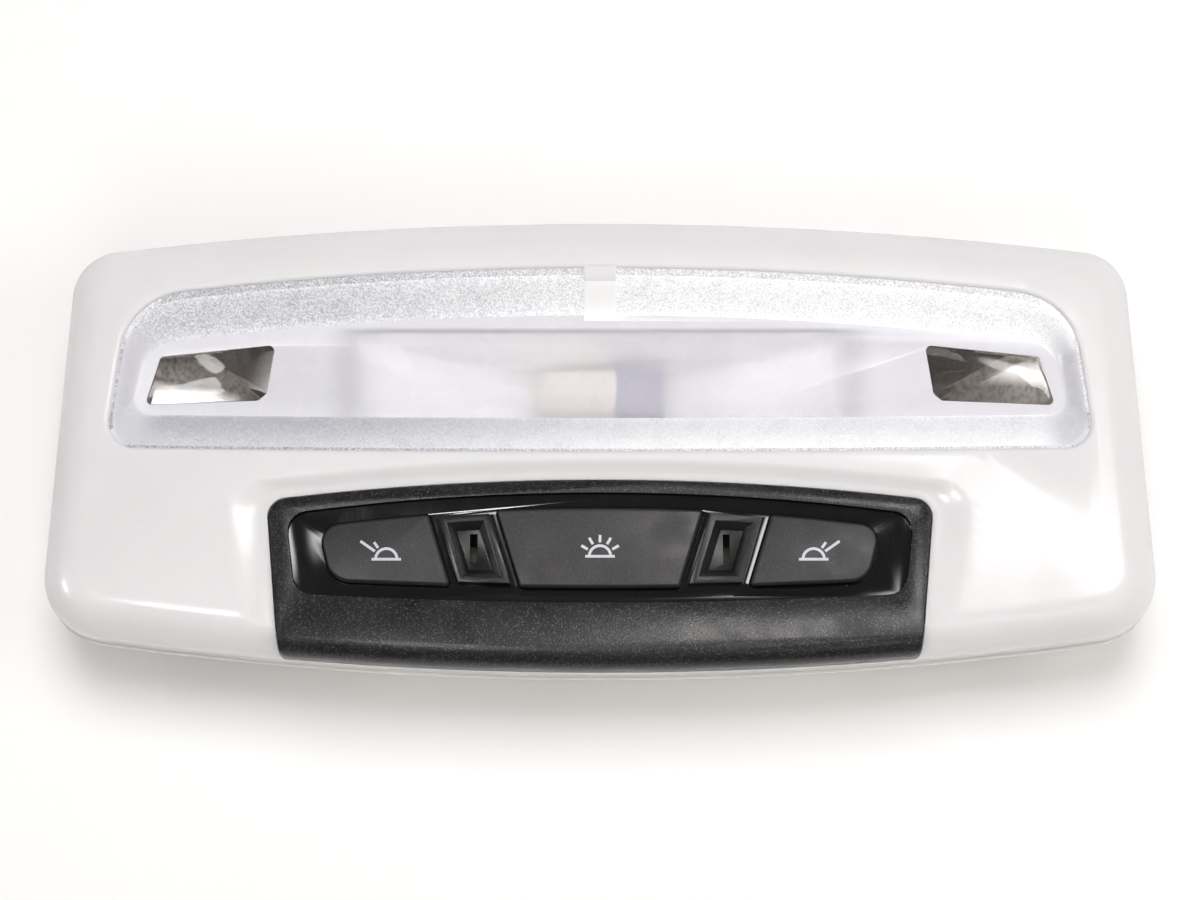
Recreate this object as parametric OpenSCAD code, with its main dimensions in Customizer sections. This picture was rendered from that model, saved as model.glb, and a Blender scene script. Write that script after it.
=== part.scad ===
// Overhead lamp for a car roof. An opal lens with a recessed trough and two clear reading
// windows covers a tray that holds three reflectors, three wedge bulbs and their leads.
// A black switch panel with three push buttons stands in a pocket of the lens, over a
// switch board with a connector that opens to the rear.
// The lamp lies on its back. X runs along it, Y from the switch edge to the far edge,
// Z out of the lens. Sizes are in millimetres and angles in degrees.

/* [Lens] */
// Half of the lens's length, at its middle
lens_half_w = 93.6; // [92:0.2:110]
// Depth of the lens, from the switch edge to the far edge
lens_d = 79; // [78:0.5:92]
// Lean of the short sides
side_lean = 3.6; // [0:0.2:5]
// Radius of the bow in the far edge
far_bow = 690; // [500:10:2000]
// Radius of the bow in the switch edge
near_bow = 620; // [500:10:2000]
// Corner radius at the far edge
far_corner = 8.5; // [6:0.5:12]
// Corner radius at the switch edge
near_corner = 10.5; // [6:0.5:12]
// Wall of the lens
lens_t = 2.4; // [1.6:0.1:2.8]
// Height of the upright rim, above the flange
rim_h = 5; // [4:0.2:8]
// Width of the rolled edge
roll_w = 7; // [5:0.2:9]
// Height of the rolled edge
roll_h = 7; // [6.6:0.2:9]
// Rise of the crown above the rolled edge
crown_h = 0.8; // [0.4:0.1:1.5]

/* [Trough] */
// From the far edge of the lens to the trough
trough_margin = 9.5; // [8:0.5:12]
// Depth of the trough from front to back
trough_d = 32.3; // [30:0.1:33]
// From the end of the lens to the trough
trough_end = 9.3; // [8.5:0.1:12]
// Lean of the trough's short sides
trough_lean = 7; // [4:0.5:10]
// Corner radius of the trough at its far edge
trough_corner = 12; // [8:0.5:14]
// Lean of the short sides of the trough's floor
floor_lean = 12; // [8:0.5:14]
// Radius of the bow in the trough's far edge
trough_bow = 610; // [450:10:2000]
// Depth of the step round the trough
step_drop = 0.6; // [0.3:0.1:1]
// Width of the step along the trough's far edge
step_w = 1.2; // [0.8:0.1:2]
// Width of the step round the rest of the trough
step_end_w = 0.5; // [0.3:0.1:1]
// From the step down to the floor of the trough
trough_drop = 3; // [2:0.1:3.4]
// Width of the far slope of the trough
far_slope = 6.4; // [4:0.2:8]
// Width of the near slope of the trough
near_slope = 6; // [4:0.1:6.5]
// Width of the slopes at the ends of the trough, at the middle of the lens
end_slope = 1.9; // [1.2:0.1:3]
// Width of the plain rib across the far slope
rib_w = 5.5; // [3:0.5:9]
// Height of the rib above the slope
rib_h = 0.5; // [0.3:0.1:0.8]

/* [Reading windows] */
// From the end of the trough's floor to the outer edge of a window
window_end = 4.3; // [4.1:0.1:8]
// Length of a window
window_w = 20.4; // [14:0.2:20.6]
// Depth of a window at its inner edge
window_d = 10.2; // [8:0.2:10.4]
// From the floor's near edge to a window
window_margin = 2.3; // [2:0.1:3]
// Slope of the far edge of a window
window_rake = 6; // [2:0.5:8]
// Drop of a window's near edge towards its outer end
window_dip = 0.8; // [0:0.1:1.2]
// Corner radius of a window
window_r = 0.9; // [0.4:0.1:1.5]
// Cut across a window's inner near corner
window_cut = 1.2; // [0.8:0.1:2]
// Ledge round a window, under the lens
window_ledge = 0.8; // [0.5:0.1:1.2]

/* [Switch panel] */
// Depth of the panel, from the switch edge
panel_d = 32; // [31.4:0.1:33]
// Half of the panel's length, at the middle of the lens
panel_half_w = 57.5; // [56.8:0.1:60]
// Lean of the panel's short sides
panel_lean = -5.3; // [-7:0.1:-3]
// Radius of the bow in the panel's far edge
panel_bow = 460; // [400:10:1000]
// Corner radius of the panel at its far edge
panel_corner = 3; // [2:0.5:5]
// Drop of the panel below the crown of the lens
panel_drop = 0.8; // [0.4:0.1:1.2]
// Wall of the panel
panel_t = 1.6; // [1.2:0.1:1.8]
// Rounding of the panel's front edge
panel_round = 3.5; // [2:0.1:4]
// Height of the lens left standing under the panel's front wall
sill_h = 5.2; // [4:0.1:6]
// Depth of the well that the buttons stand in
well_drop = 2; // [1.4:0.1:2.4]
// Width of the lip of the lens round the panel
lip_w = 1.1; // [0.8:0.1:1.6]
// Width of the slope along the far side of the lip
pocket_slope = 2.5; // [1.5:0.1:3.5]
// Width of the slope at the ends of the lip
pocket_end_slope = 5.5; // [3:0.1:7]

/* [Buttons] */
// Half of the centre button's length, at mid height
centre_half_w = 15.6; // [13:0.2:16]
// Gap between a button and a light funnel
strip_gap = 1.45; // [1:0.05:2]
// Length of a light funnel, at mid height
funnel_w = 8.9; // [7:0.1:9.5]
// Slant of the ends of the buttons
slant = 17.2; // [10:0.2:20]
// Place of a side button's switch, as a share of the button's length from its inner end
switch_share = 0.39; // [0.35:0.01:0.5]
// From the end of the panel to the screws at its far edge
screw_end = 6.5; // [6:0.1:8]
// Drop of the button faces below the panel
button_drop = 0.6; // [0.3:0.1:0.9]
// Thickness of a button's face
button_t = 1.6; // [1.2:0.1:1.8]
// Travel of a button
travel = 1; // [0.5:0.1:1.2]
// Gap round a button in its hole
button_gap = 0.25; // [0.2:0.05:0.4]
// Width of the lip that holds a button in
catch_w = 0.7; // [0.5:0.1:0.8]
// Width of the slot in a light funnel
slot_w = 1.15; // [0.8:0.05:2]
// Length of the slot in a light funnel
slot_l = 5; // [3:0.2:6]

/* [Tray] */
// Height of the flange's underside above the rear ribs
flange_z = 17.6; // [17:0.2:22]
// Thickness of the flange
flange_t = 1.4; // [1:0.1:2]
// Width of the flange outside the lens
flange_lip = 0.4; // [0.2:0.1:1]
// Wall and floor of the tray
tray_t = 2; // [1.6:0.1:2.4]
// Height of the ribs behind the floor
rib_rear_h = 5; // [4.2:0.2:6]
// Thickness of the ribs behind the floor
rib_rear_t = 1.8; // [1.4:0.1:2.4]
// Height of the tray's edge inside the lens
upstand_h = 3; // [2.6:0.1:4]

/* [Lamps] */
// Radius of a bulb's glass
bulb_r = 4.8; // [4:0.1:4.9]
// Length of a bulb's glass outside its holder
bulb_l = 14.5; // [12:0.5:14.5]
// Wall of a bulb's glass
glass_t = 0.6; // [0.4:0.1:0.8]
// Length of a lamp holder
holder_l = 8; // [6:0.5:8]
// From the middle of the lamp to the dome lamp's holder
dome_holder_x = 3; // [2:0.5:4]
// From the dome reflector's opening to a reading window
dome_gap = 13.8; // [13:0.2:18]
// Half of the dome reflector's floor
dome_floor_half_w = 13; // [12.5:0.5:16]
// Wall of a reflector
reflector_t = 1.2; // [0.8:0.1:1.4]

/* [Switch board] */
// Thickness of the switch board
board_t = 1.6; // [1:0.1:1.8]
// Height of a push switch's case
case_h = 3.8; // [3:0.1:4]
// Width of a push switch's case
case_w = 6.2; // [5:0.1:7]
// Radius of a switch's plunger
plunger_r = 1.6; // [1.2:0.1:1.8]
// From the middle of the lamp to the connector
header_x = 12; // [11.5:0.1:13]
// Length of the connector's body
header_w = 20; // [18:0.5:21]
// Depth of the connector's body
header_d = 11; // [9.6:0.2:12]
// Depth of the connector's socket
socket_h = 10.2; // [9.6:0.2:11]
// Number of pins in each row
pin_cols = 4; // [2:1:5]
// Pitch of the pins
pin_pitch = 2.5; // [2:0.1:3]
// Radius of the screw threads
screw_r = 1.45; // [1.2:0.05:1.6]

/* [Hidden] */
$fn = 48;
// Reaches past a face that is cut through
past = 0.5;
// Higher than anything in the lamp, for cuts that run out of the top
above = 60;
// Clearance between pieces that are put together and stay
fit = 0.3;
// Clearance between pieces that slide
slide_fit = 0.06;
// Gap between the reflectors and the back of the lens
reflector_gap = 0.7;
// Reach of a reading bulb's tip past the inner edge of its window
tip_reach = 0.3;

// Heights, from the rear ribs up
floor_z = rib_rear_h;
floor_top = floor_z + tray_t;
rim_z = flange_z + flange_t;
roll_z = rim_z + rim_h;
shoulder_z = roll_z + roll_h;
crown_z = shoulder_z + crown_h;
step_z = shoulder_z - step_drop;
plateau_z = step_z - trough_drop;
reflector_z = plateau_z - lens_t - reflector_gap;
panel_z = crown_z - panel_drop;
sill_z = rim_z + sill_h;
well_z = panel_z - well_drop;
well_t = 1.4;
well_under = well_z - well_t;
button_z = panel_z - button_drop;
button_under = button_z - button_t;
board_top = case_base_z();
board_under = board_top - board_t;
case_top = board_top + case_h;
plunger_top = case_top + travel;

// Places along Y
far_y = lens_d / 2;
near_y = -lens_d / 2;
trough_far = far_y - trough_margin;
trough_near = trough_far - trough_d;
plateau_far = trough_far - step_w - far_slope;
plateau_near = trough_near + step_end_w + near_slope;
panel_far = near_y + panel_d;
row_far = panel_far - 4.4;
row_near = row_far - 13.8;
row_mid = (row_far + row_near) / 2;
lamp_y = (plateau_far + plateau_near) / 2 - 1.6;
tray_inset = lens_t + fit;
trough_half_w = lens_half_w - trough_end;
floor_half_w = trough_half_w - step_end_w - end_slope;
window_x = floor_half_w - window_end - window_w;
reading_holder_x = window_x - bulb_l - holder_l + tip_reach;
dome_half_w = window_x - dome_gap;

// Places of the switches, leads and screws
funnel_x0 = centre_half_w + strip_gap;
funnel_x1 = funnel_x0 + funnel_w;
side_button_x = funnel_x1 + strip_gap;
row_half_w = panel_half_w - 5.9;
side_switch_x = side_button_x + switch_share * (row_half_w - side_button_x);
board_far = panel_far - 3.6;
board_near = near_y + 7.7;
lead_y = board_far - 1.6;
screw_x = panel_half_w - screw_end;
screw_at = [[screw_x, board_far - 2.7], [screw_x - 1, board_near + 3.1]];
tower_r = 3.6;
head_r = 2.8;
head_h = 2.2;

// The switch board lies so that a pressed button's plunger still clears its case's floor
function case_base_z() = panel_z - 11;

// Points of an arc about c, from angle a to angle b
function arc(c, r, a, b, n) = [for (i = [0 : n])
    let (d = a + (b - a) * i / n) c + r * [cos(d), sin(d)]];

// Centre of a corner of radius r between the leaning side and a bow of radius bow about [0, k]
// side is 1 for the far corner and -1 for the near one
function corner_centre(w, lean, k, bow, r, side) =
    let (t = tan(lean), a = w - k * t - r / cos(lean), q = 1 + t * t)
    let (u = (a * t + side * sqrt(a * a * t * t - q * (a * a - pow(bow - r, 2)))) / q)
    [a - u * t, k + u];

// Outline with leaning sides, bowed long edges and round corners, right half first:
// s = [half width at y 0, lean, far y, far bow, far corner, near y, near bow, near corner]
function outline(s, n = 5, m = 8) =
    let (far_k = s[2] - s[3], near_k = s[5] + s[6])
    let (far_c = corner_centre(s[0], s[1], far_k, s[3], s[4], 1))
    let (near_c = corner_centre(s[0], s[1], near_k, s[6], s[7], -1))
    let (far_a = atan2(far_c[1] - far_k, far_c[0]), near_a = atan2(near_c[1] - near_k, near_c[0]))
    let (half = concat(
        arc([0, near_k], s[6], -90, near_a, m),
        tail(arc(near_c, s[7], near_a, s[1], n)),
        arc(far_c, s[4], s[1], far_a, n),
        tail(arc([0, far_k], s[3], far_a, 90, m))))
    concat(half, [for (i = [len(half) - 2 : -1 : 1]) [-half[i][0], half[i][1]]]);

function tail(list) = [for (i = [1 : len(list) - 1]) list[i]];

// The same outline with its edges moved inwards by d
function inset(s, d) = [
    s[0] - d / cos(s[1]), s[1],
    s[2] - d, s[3] - d, max(s[4] - d, 0.6 * s[4] - 0.04 * d),
    s[5] + d, s[6] - d, max(s[7] - d, 0.6 * s[7] - 0.04 * d)];

lens_plan = [lens_half_w, side_lean, far_y, far_bow, far_corner, near_y, near_bow, near_corner];
trough_plan = [trough_half_w, trough_lean, trough_far, trough_bow, trough_corner,
    trough_near, 5000, 4.5];
slope_plan = [trough_half_w - step_end_w, trough_lean, trough_far - step_w, trough_bow - step_w,
    trough_corner - 1, trough_near + step_end_w, 5000, 4.3];
plateau_plan = [floor_half_w, floor_lean, plateau_far, trough_bow - far_slope,
    0.55 * trough_corner, plateau_near, 5000, 3];
panel_plan = [panel_half_w, panel_lean, panel_far, panel_bow, panel_corner, near_y, near_bow, 1.5];
well_plan = [panel_half_w - 2.4, panel_lean - 2, panel_far - 2, panel_bow - 70, 3.5,
    panel_far - 20.9, 870, 3.5];
row_plan = [row_half_w, -14, row_far, 360, 3, row_near, 900, 4];

// Solid through a stack of outlines, each with its height: [[outline, z], ...]
module loft(rings) {
    n = len(rings[0][0]);
    last = len(rings) - 1;
    points = [for (ring = rings) for (p = ring[0]) [p[0], p[1], ring[1]]];
    sides = [for (j = [0 : last - 1]) for (i = [0 : n - 1])
        [j * n + i, (j + 1) * n + i, (j + 1) * n + (i + 1) % n, j * n + (i + 1) % n]];
    bottom = [for (i = [0 : n - 1]) i];
    top = [for (i = [n - 1 : -1 : 0]) last * n + i];
    polyhedron(points, concat([bottom], sides, [top]));
}

module plate(s, z0, z1) {
    translate([0, 0, z0]) linear_extrude(z1 - z0) polygon(outline(s));
}

// The child on the right and its mirror image on the left
module both_sides() {
    children();
    mirror([1, 0, 0]) children();
}

// The child on the given side: 1 for right, -1 for left
module on_side(side) {
    mirror([side < 0 ? 1 : 0, 0, 0]) children();
}

// Lens

// Distance between the rings of the crown
crown_step = 5.7;

// Rings of the lens's skin, t inside its outer face
function skin(t) = concat(
    [[outline(inset(lens_plan, t)), rim_z - (t > 0 ? past : 0)]],
    [for (a = [0 : 15 : 90])
        [outline(inset(lens_plan, t + (roll_w - t) * (1 - cos(a)))), roll_z + (roll_h - t) * sin(a)]],
    [for (k = [1 : 4])
        let (rise = crown_h * (1 - pow(1 - k / 4, 2)))
        [outline(inset(lens_plan, roll_w + crown_step * k)), shoulder_z - t + rise]]);

// Rings of the trough, t below and beside its faces
function trough_rings(t) = [
    [outline(inset(plateau_plan, -0.5 * t)), plateau_z - t],
    [outline(inset(slope_plan, -0.6 * t)), step_z - t]];

module trough_cut() {
    loft(trough_rings(0));
    plate(trough_plan, step_z, above);
}

module trough_back() {
    loft(trough_rings(lens_t));
    plate(inset(trough_plan, -lens_t), step_z - lens_t, above);
}

// The plain rib that crosses the far slope
module slope_rib() {
    intersection() {
        translate([-rib_w / 2, plateau_far - 1, 0]) cube([rib_w, far_slope + step_w + 3, crown_z - 0.2]);
        translate([0, 0, rib_h]) difference() {
            plate(inset(trough_plan, -1), plateau_z - lens_t, step_z);
            loft(trough_rings(0));
        }
    }
}

// Outline of the right reading window, grown by d
module window_shape(d = 0) {
    y0 = plateau_near + window_margin;
    x1 = window_x + window_w;
    offset(r = window_r + d) offset(delta = -window_r) polygon([
        [window_x + 0.5 + window_cut, y0 + window_dip],
        [window_x + 0.3, y0 + window_dip + window_cut],
        [window_x - 1, y0 + window_d + 0.4],
        [x1 - 1.7, y0 + window_d + 0.4 - (window_w - 0.7) * tan(window_rake)],
        [x1 + 0.8, y0]]);
}

// The pocket that the switch panel stands in, with its sloped sides. The slope is drawn up
// past the crown, and reaches its widths at the crown
module panel_pocket() {
    lip_drop = 0.1;
    over = (2 * panel_drop + lip_drop) / (panel_drop + lip_drop);
    opening = inset(panel_plan, -fit);
    wide = inset(opening, -lip_w);
    slope = over * pocket_slope;
    loft([
        [outline(wide), panel_z - lip_drop],
        [outline([wide[0] + over * pocket_end_slope, wide[1], wide[2] + slope, wide[3], wide[4] + 3,
            wide[5] - slope, wide[6], wide[7] + 2]), panel_z + 2 * panel_drop]]);
    plate(opening, sill_z, above);
}

// Places of the snaps along a long edge: [angle, centre of the bow, bow, side]
snap_end = lens_half_w - 23.6;
snap_x = [for (k = [-1 : 0.5 : 1]) k * snap_end];
snap_w = 7;
snap_d = 0.9;
snap_z = rim_z + 1.4;
snap_h = 1.1;

// The child at each snap, with Y out of the tray's wall and 0 on its outer face
module at_snaps() {
    for (x = snap_x) {
        translate([0, far_y - far_bow, 0]) rotate([0, 0, -asin(x / far_bow)])
            translate([0, far_bow - tray_inset, 0]) children();
        translate([0, near_y + near_bow, 0]) rotate([0, 0, 180 - asin(x / near_bow)])
            translate([0, near_bow - tray_inset, 0]) children();
    }
}

module snap_recess() {
    w = snap_w + 2 * fit;
    hull() {
        translate([-w / 2, 0, snap_z - fit]) cube([w, fit + past / 2, snap_h + 2 * fit]);
        translate([-w / 2, 0, snap_z]) cube([w, snap_d + fit / 2, snap_h]);
    }
}

module lens_cover() {
    color("white", 0.6) difference() {
        loft(skin(0));
        difference() {
            loft(skin(lens_t));
            trough_back();
            plate(inset(panel_plan, -fit - panel_t), well_under, above);
        }
        difference() {
            trough_cut();
            slope_rib();
        }
        both_sides() translate([0, 0, plateau_z - lens_t - past]) linear_extrude(lens_t + 2 * past)
            window_shape(0.05);
        panel_pocket();
        at_snaps() snap_recess();
        pry_notch();
    }
}

// The small notch in the left edge where a tool lifts the lamp out
module pry_notch() {
    notch = [2, 5, 2.2];
    translate([-lens_half_w, far_y / 2, rim_z - past]) rotate([0, 0, -side_lean])
        translate([0, -notch[1] / 2, 0]) cube(notch);
}

module reading_window(side) {
    color("lightcyan", 0.4) on_side(side) {
        translate([0, 0, plateau_z - lens_t]) linear_extrude(lens_t) window_shape();
        translate([0, 0, plateau_z - lens_t - 0.5]) linear_extrude(0.5) window_shape(window_ledge);
    }
}

// Tray

// Ribs behind the floor: long ones as [y, half length], cross ones as [x, near y], mirrored
rib_end = lens_half_w - 14.6;
rib_mid = 43;
long_ribs = [[-31, rib_mid], [-11, rib_end], [8, rib_end], [27, rib_end]];
cross_ribs = [[rib_end - rib_rear_t / 2, -11], [rib_mid - rib_rear_t / 2, -31], [26, -31]];

module rear_ribs() {
    far = long_ribs[3][0];
    h = rib_rear_h + past;
    for (rib = long_ribs)
        translate([-rib[1], rib[0] - rib_rear_t / 2, 0]) cube([2 * rib[1], rib_rear_t, h]);
    both_sides() for (rib = cross_ribs)
        translate([rib[0] - rib_rear_t / 2, rib[1], 0]) cube([rib_rear_t, far - rib[1], h]);
}

// Wedge that snaps into the lens
module snap_nib() {
    translate([-snap_w / 2, 0, snap_z]) rotate([90, 0, 90]) linear_extrude(snap_w)
        polygon([[-past, 0], [fit, 0], [snap_d, 0.3], [snap_d, 0.5], [0, snap_h], [-past, snap_h]]);
}

// Places of the spring clips, and the flat pad that each one is staked to
clip_x = [lens_half_w - 33.6, lens_half_w - 21.6];
clip_w = 10;
clip_t = 0.5;
clip_seat = 0.5;
// How far a clip's bow stands out from its seat
clip_reach = 1.2;
pad_top = flange_z - 2.4;
stake_z = pad_top - 5.8;
stake_r = 1.2;
clip_far_y = far_y - pow(clip_x[0], 2) / (2 * far_bow) - tray_inset + clip_seat;
clip_near_y = near_y + pow(clip_x[1], 2) / (2 * near_bow) + tray_inset - 0.6;

// Frame of a clip: origin on its seat, Y outwards
module at_clip(end, side) {
    on_side(side) translate([clip_x[end], end == 0 ? clip_far_y : clip_near_y, 0])
        rotate([0, 0, end == 0 ? 0 : 180]) children();
}

module clip_pad() {
    translate([-clip_w / 2 - 1, -3, floor_z]) cube([clip_w + 2, 3, pad_top - floor_z]);
    translate([0, -1, stake_z]) rotate([-90, 0, 0]) cylinder(r = stake_r, h = 1 + 1.3 * clip_t);
}

// Flat pads that the reflectors stand on
module reflector_pads() {
    dome_x = dome_floor_half_w - 0.1;
    reading_x = window_x - 5;
    for (x = [-reading_x, -dome_x, -1, dome_x, reading_x])
        for (y = [lamp_y - 3.5, lamp_y - 0.5])
            translate([x, y, floor_z + past]) cylinder(r = 1.2, h = tray_t - past + 1);
}

module housing() {
    opening_w = header_w + 2 * fit;
    opening_d = header_d + 2 * fit;
    color("gainsboro") difference() {
        union() {
            difference() {
                union() {
                    plate(inset(lens_plan, tray_inset), floor_z, rim_z + upstand_h);
                    plate(inset(lens_plan, -flange_lip), flange_z, rim_z);
                    both_sides() {
                        at_clip(0, 1) clip_pad();
                        at_clip(1, 1) clip_pad();
                    }
                }
                plate(inset(lens_plan, tray_inset + tray_t), floor_top, above);
            }
            rear_ribs();
            at_snaps() snap_nib();
            both_sides() for (p = screw_at)
                translate([p[0], p[1], floor_z]) cylinder(r = tower_r, h = board_under - floor_z);
            reflector_pads();
        }
        both_sides() for (p = screw_at) {
            translate([p[0], p[1], floor_z - past]) cylinder(r = screw_r + 0.25, h = board_under);
            translate([p[0], p[1], floor_z - past]) cylinder(r = head_r + 0.2, h = head_h + 0.4 + past);
        }
        translate([header_x - opening_w / 2, header_y - opening_d / 2, -past])
            cube([opening_w, opening_d, floor_top + 2 * past]);
    }
}

module spring_clip(end, side) {
    x0 = clip_t / 2;
    path = [[x0, floor_z + 0.5], [x0, pad_top - 4.2], [clip_reach - 0.1, pad_top - 2.8],
        [clip_reach, pad_top - 2.4], [clip_reach - 0.1, pad_top - 2], [x0 + 0.2, pad_top - 0.4]];
    color("silver") at_clip(end, side) difference() {
        translate([-clip_w / 2, 0, 0]) rotate([90, 0, 90]) linear_extrude(clip_w) strip(path, clip_t);
        translate([0, -past, stake_z]) rotate([-90, 0, 0])
            cylinder(r = stake_r + 0.1, h = clip_t + past + 0.2);
    }
}

// Sheet of thickness t bent along a path, seen on its edge
module strip(path, t) {
    for (i = [0 : len(path) - 2])
        hull() {
            translate(path[i]) circle(d = t, $fn = 16);
            translate(path[i + 1]) circle(d = t, $fn = 16);
        }
}

// Reflectors

// Depth of the reflectors to each side of the lamps
reflector_far = lamp_y + 8.2;
reflector_near = lamp_y - 7.8;
reflector_floor_z = floor_top + 1 + reflector_t;
thin = 0.02;

// Hopper from an opening down to a floor: each is [x0, x1, y0, y1], grown by d
module hopper(opening, bottom, d, z0, z1) {
    hull() {
        translate([opening[0] - d, opening[2] - d, z1 - thin])
            cube([opening[1] - opening[0] + 2 * d, opening[3] - opening[2] + 2 * d, thin]);
        translate([bottom[0] - d, bottom[2] - d, z0])
            cube([bottom[1] - bottom[0] + 2 * d, bottom[3] - bottom[2] + 2 * d, thin]);
    }
}

module hopper_shell(opening, bottom) {
    difference() {
        hopper(opening, bottom, reflector_t, reflector_floor_z - reflector_t, reflector_z);
        hopper(opening, bottom, 0, reflector_floor_z, reflector_z + thin);
    }
}

// Cylinder along X from x0 to x1, at a lamp's axis
module along_x(x0, x1, r, z) {
    translate([x0, lamp_y, z]) rotate([0, 90, 0]) cylinder(r = r, h = x1 - x0);
}

dome_axis_z = reflector_floor_z + bulb_r + 1;
reading_axis_z = reflector_floor_z + bulb_r + 0.2;
holder_w = 2 * bulb_r - 0.2;
blade_t = 0.6;

module dome_reflector() {
    hole_w = holder_l + 2 * fit;
    color("white") difference() {
        hopper_shell(
            [-dome_half_w, dome_half_w, reflector_near, reflector_far],
            [-dome_floor_half_w, dome_floor_half_w, lamp_y - 5.5, lamp_y + 5.5]);
        translate([dome_holder_x - fit, lamp_y - holder_w / 2 - blade_t - 0.4, floor_z])
            cube([hole_w, holder_w + 2 * blade_t + 0.8, 7]);
        both_sides() translate([reading_holder_x - fit, lamp_y - holder_w / 2 - blade_t - fit, floor_z])
            cube([hole_w, holder_w + 2 * (blade_t + fit), reading_axis_z + bulb_r - 1 + fit - floor_z]);
    }
}

module reading_reflector(side) {
    x0 = dome_half_w + 2 * reflector_t + 0.5;
    tip_x = reading_holder_x + holder_l + bulb_l;
    color("silver") on_side(side) difference() {
        hopper_shell([x0, window_x + window_w + 3, reflector_near, reflector_far],
            [x0 + 1, window_x + 3, lamp_y - 5.2, lamp_y + 1.2]);
        along_x(x0 - 2 * reflector_t, tip_x + 0.4, bulb_r + fit, reading_axis_z);
    }
}

// Lamps. Each stands with its bulb's tip towards -X, then is mirrored for the right side

// Where a lamp's holder ends and its glass begins, its axis height and its side
function lamp_face(lamp) = lamp == "dome" ? dome_holder_x : -reading_holder_x - holder_l;
function lamp_axis(lamp) = lamp == "dome" ? dome_axis_z : reading_axis_z;

// The child at a lamp, with X running out of the holder and 0 on the holder's face
module at_lamp(lamp) {
    on_side(lamp == "right" ? -1 : 1)
        translate([lamp_face(lamp), lamp_y, lamp_axis(lamp)]) rotate([0, 0, 180]) children();
}

wedge_l = 6;
wedge_t = 2.4;

module lamp_holder(lamp) {
    base = lamp_axis(lamp) - floor_top;
    slot = [wedge_l + 0.2 + past, holder_w - 1, wedge_t + 0.1];
    color("thistle") at_lamp(lamp) difference() {
        translate([-holder_l, -holder_w / 2, -base]) cube([holder_l, holder_w, base + bulb_r - 1]);
        translate([past - slot[0], -slot[1] / 2, -slot[2] / 2]) cube(slot);
    }
}

// Half of the glass, drawn with the lamp's axis upright
module glass_profile(r, x0, x1) {
    translate([0, x0]) square([r, x1 - r - x0]);
    translate([0, x1 - r]) intersection() {
        circle(r = r);
        square(r);
    }
}

module bulb(lamp) {
    color("lightyellow", 0.5) at_lamp(lamp) {
        rotate([0, 90, 0]) rotate_extrude() difference() {
            glass_profile(bulb_r, 0, bulb_l);
            glass_profile(bulb_r - glass_t, 2, bulb_l - glass_t);
        }
        translate([-wedge_l, -holder_w / 2 + 0.6, -wedge_t / 2])
            cube([wedge_l + 0.1, holder_w - 1.2, wedge_t]);
    }
}

module filament(lamp) {
    post_r = 0.25;
    post_x = 2;
    coil_r = 0.5;
    coil_l = 4;
    color("dimgray") at_lamp(lamp) {
        for (y = [-1, 1])
            translate([post_x, y * coil_l / 2, 0]) rotate([0, 90, 0])
                cylinder(r = post_r, h = bulb_l / 2 - post_x);
        translate([bulb_l / 2, -coil_l / 2 - coil_r, 0]) rotate([-90, 0, 0])
            cylinder(r = coil_r, h = coil_l + 2 * coil_r);
    }
}

// Leads. Flat strips on the tray's floor with tabs bent up

lead_w = 3;

// Tab that stands at x, y from the floor to z1
module tab(x, y, z1) {
    translate([x - lead_w / 2, y, floor_top]) cube([lead_w, blade_t, z1 - floor_top]);
}

module flat(x0, x1, y0, y1) {
    translate([x0, y0, floor_top]) cube([x1 - x0, y1 - y0, blade_t]);
}

// Middle of a holder along X
function holder_mid(lamp) = (lamp == "right" ? -1 : 1) * (lamp_face(lamp) + holder_l / 2);

module lead_feed(lamp) {
    x = holder_mid(lamp);
    y = lamp_y - holder_w / 2 - blade_t - 0.05;
    color("gold") {
        flat(x - lead_w / 2, x + lead_w / 2, lead_y, y + blade_t);
        tab(x, y, lamp_axis(lamp) + 1);
        tab(x, lead_y, board_top + 0.8);
    }
}

common_x = -29;

module lead_common() {
    y = lamp_y + holder_w / 2 + 0.05;
    rail_y = lamp_y + 10;
    lamps = ["dome", "left", "right"];
    color("gold") {
        for (lamp = lamps) {
            flat(holder_mid(lamp) - lead_w / 2, holder_mid(lamp) + lead_w / 2, y, rail_y + lead_w);
            tab(holder_mid(lamp), y, lamp_axis(lamp) + 1);
        }
        flat(holder_mid("left") - lead_w / 2, holder_mid("right") + lead_w / 2, rail_y, rail_y + lead_w);
        flat(common_x - lead_w / 2, common_x + lead_w / 2, lead_y, rail_y + lead_w);
        tab(common_x, lead_y, board_top + 0.8);
    }
}

// Switch panel

// Region of the button row between two slanted lines, each given at mid height
module slanted_strip(x0, x1) {
    reach = 12;
    s = reach * tan(slant);
    polygon([
        [x0 - s, row_mid - reach], [x1 - s, row_mid - reach],
        [x1 + s, row_mid + reach], [x0 + s, row_mid + reach]]);
}

module rounded(r) {
    offset(r = r, $fn = 24) offset(delta = -r) children();
}

module side_button_shape() {
    rounded(0.5) intersection() {
        polygon(outline(row_plan));
        slanted_strip(side_button_x, panel_half_w);
    }
}

module centre_button_shape() {
    s = 12 * tan(slant);
    rounded(0.5) intersection() {
        polygon(outline(row_plan));
        polygon([
            [-centre_half_w + s, row_mid - 12], [centre_half_w - s, row_mid - 12],
            [centre_half_w + s, row_mid + 12], [-centre_half_w - s, row_mid + 12]]);
    }
}

module button_shape(place) {
    if (place == 0)
        centre_button_shape();
    else
        on_side(place) side_button_shape();
}

module funnel_shape() {
    intersection() {
        polygon(outline(inset(row_plan, 0.6)));
        slanted_strip(funnel_x0, funnel_x1);
    }
}

places = [-1, 0, 1];

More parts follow.
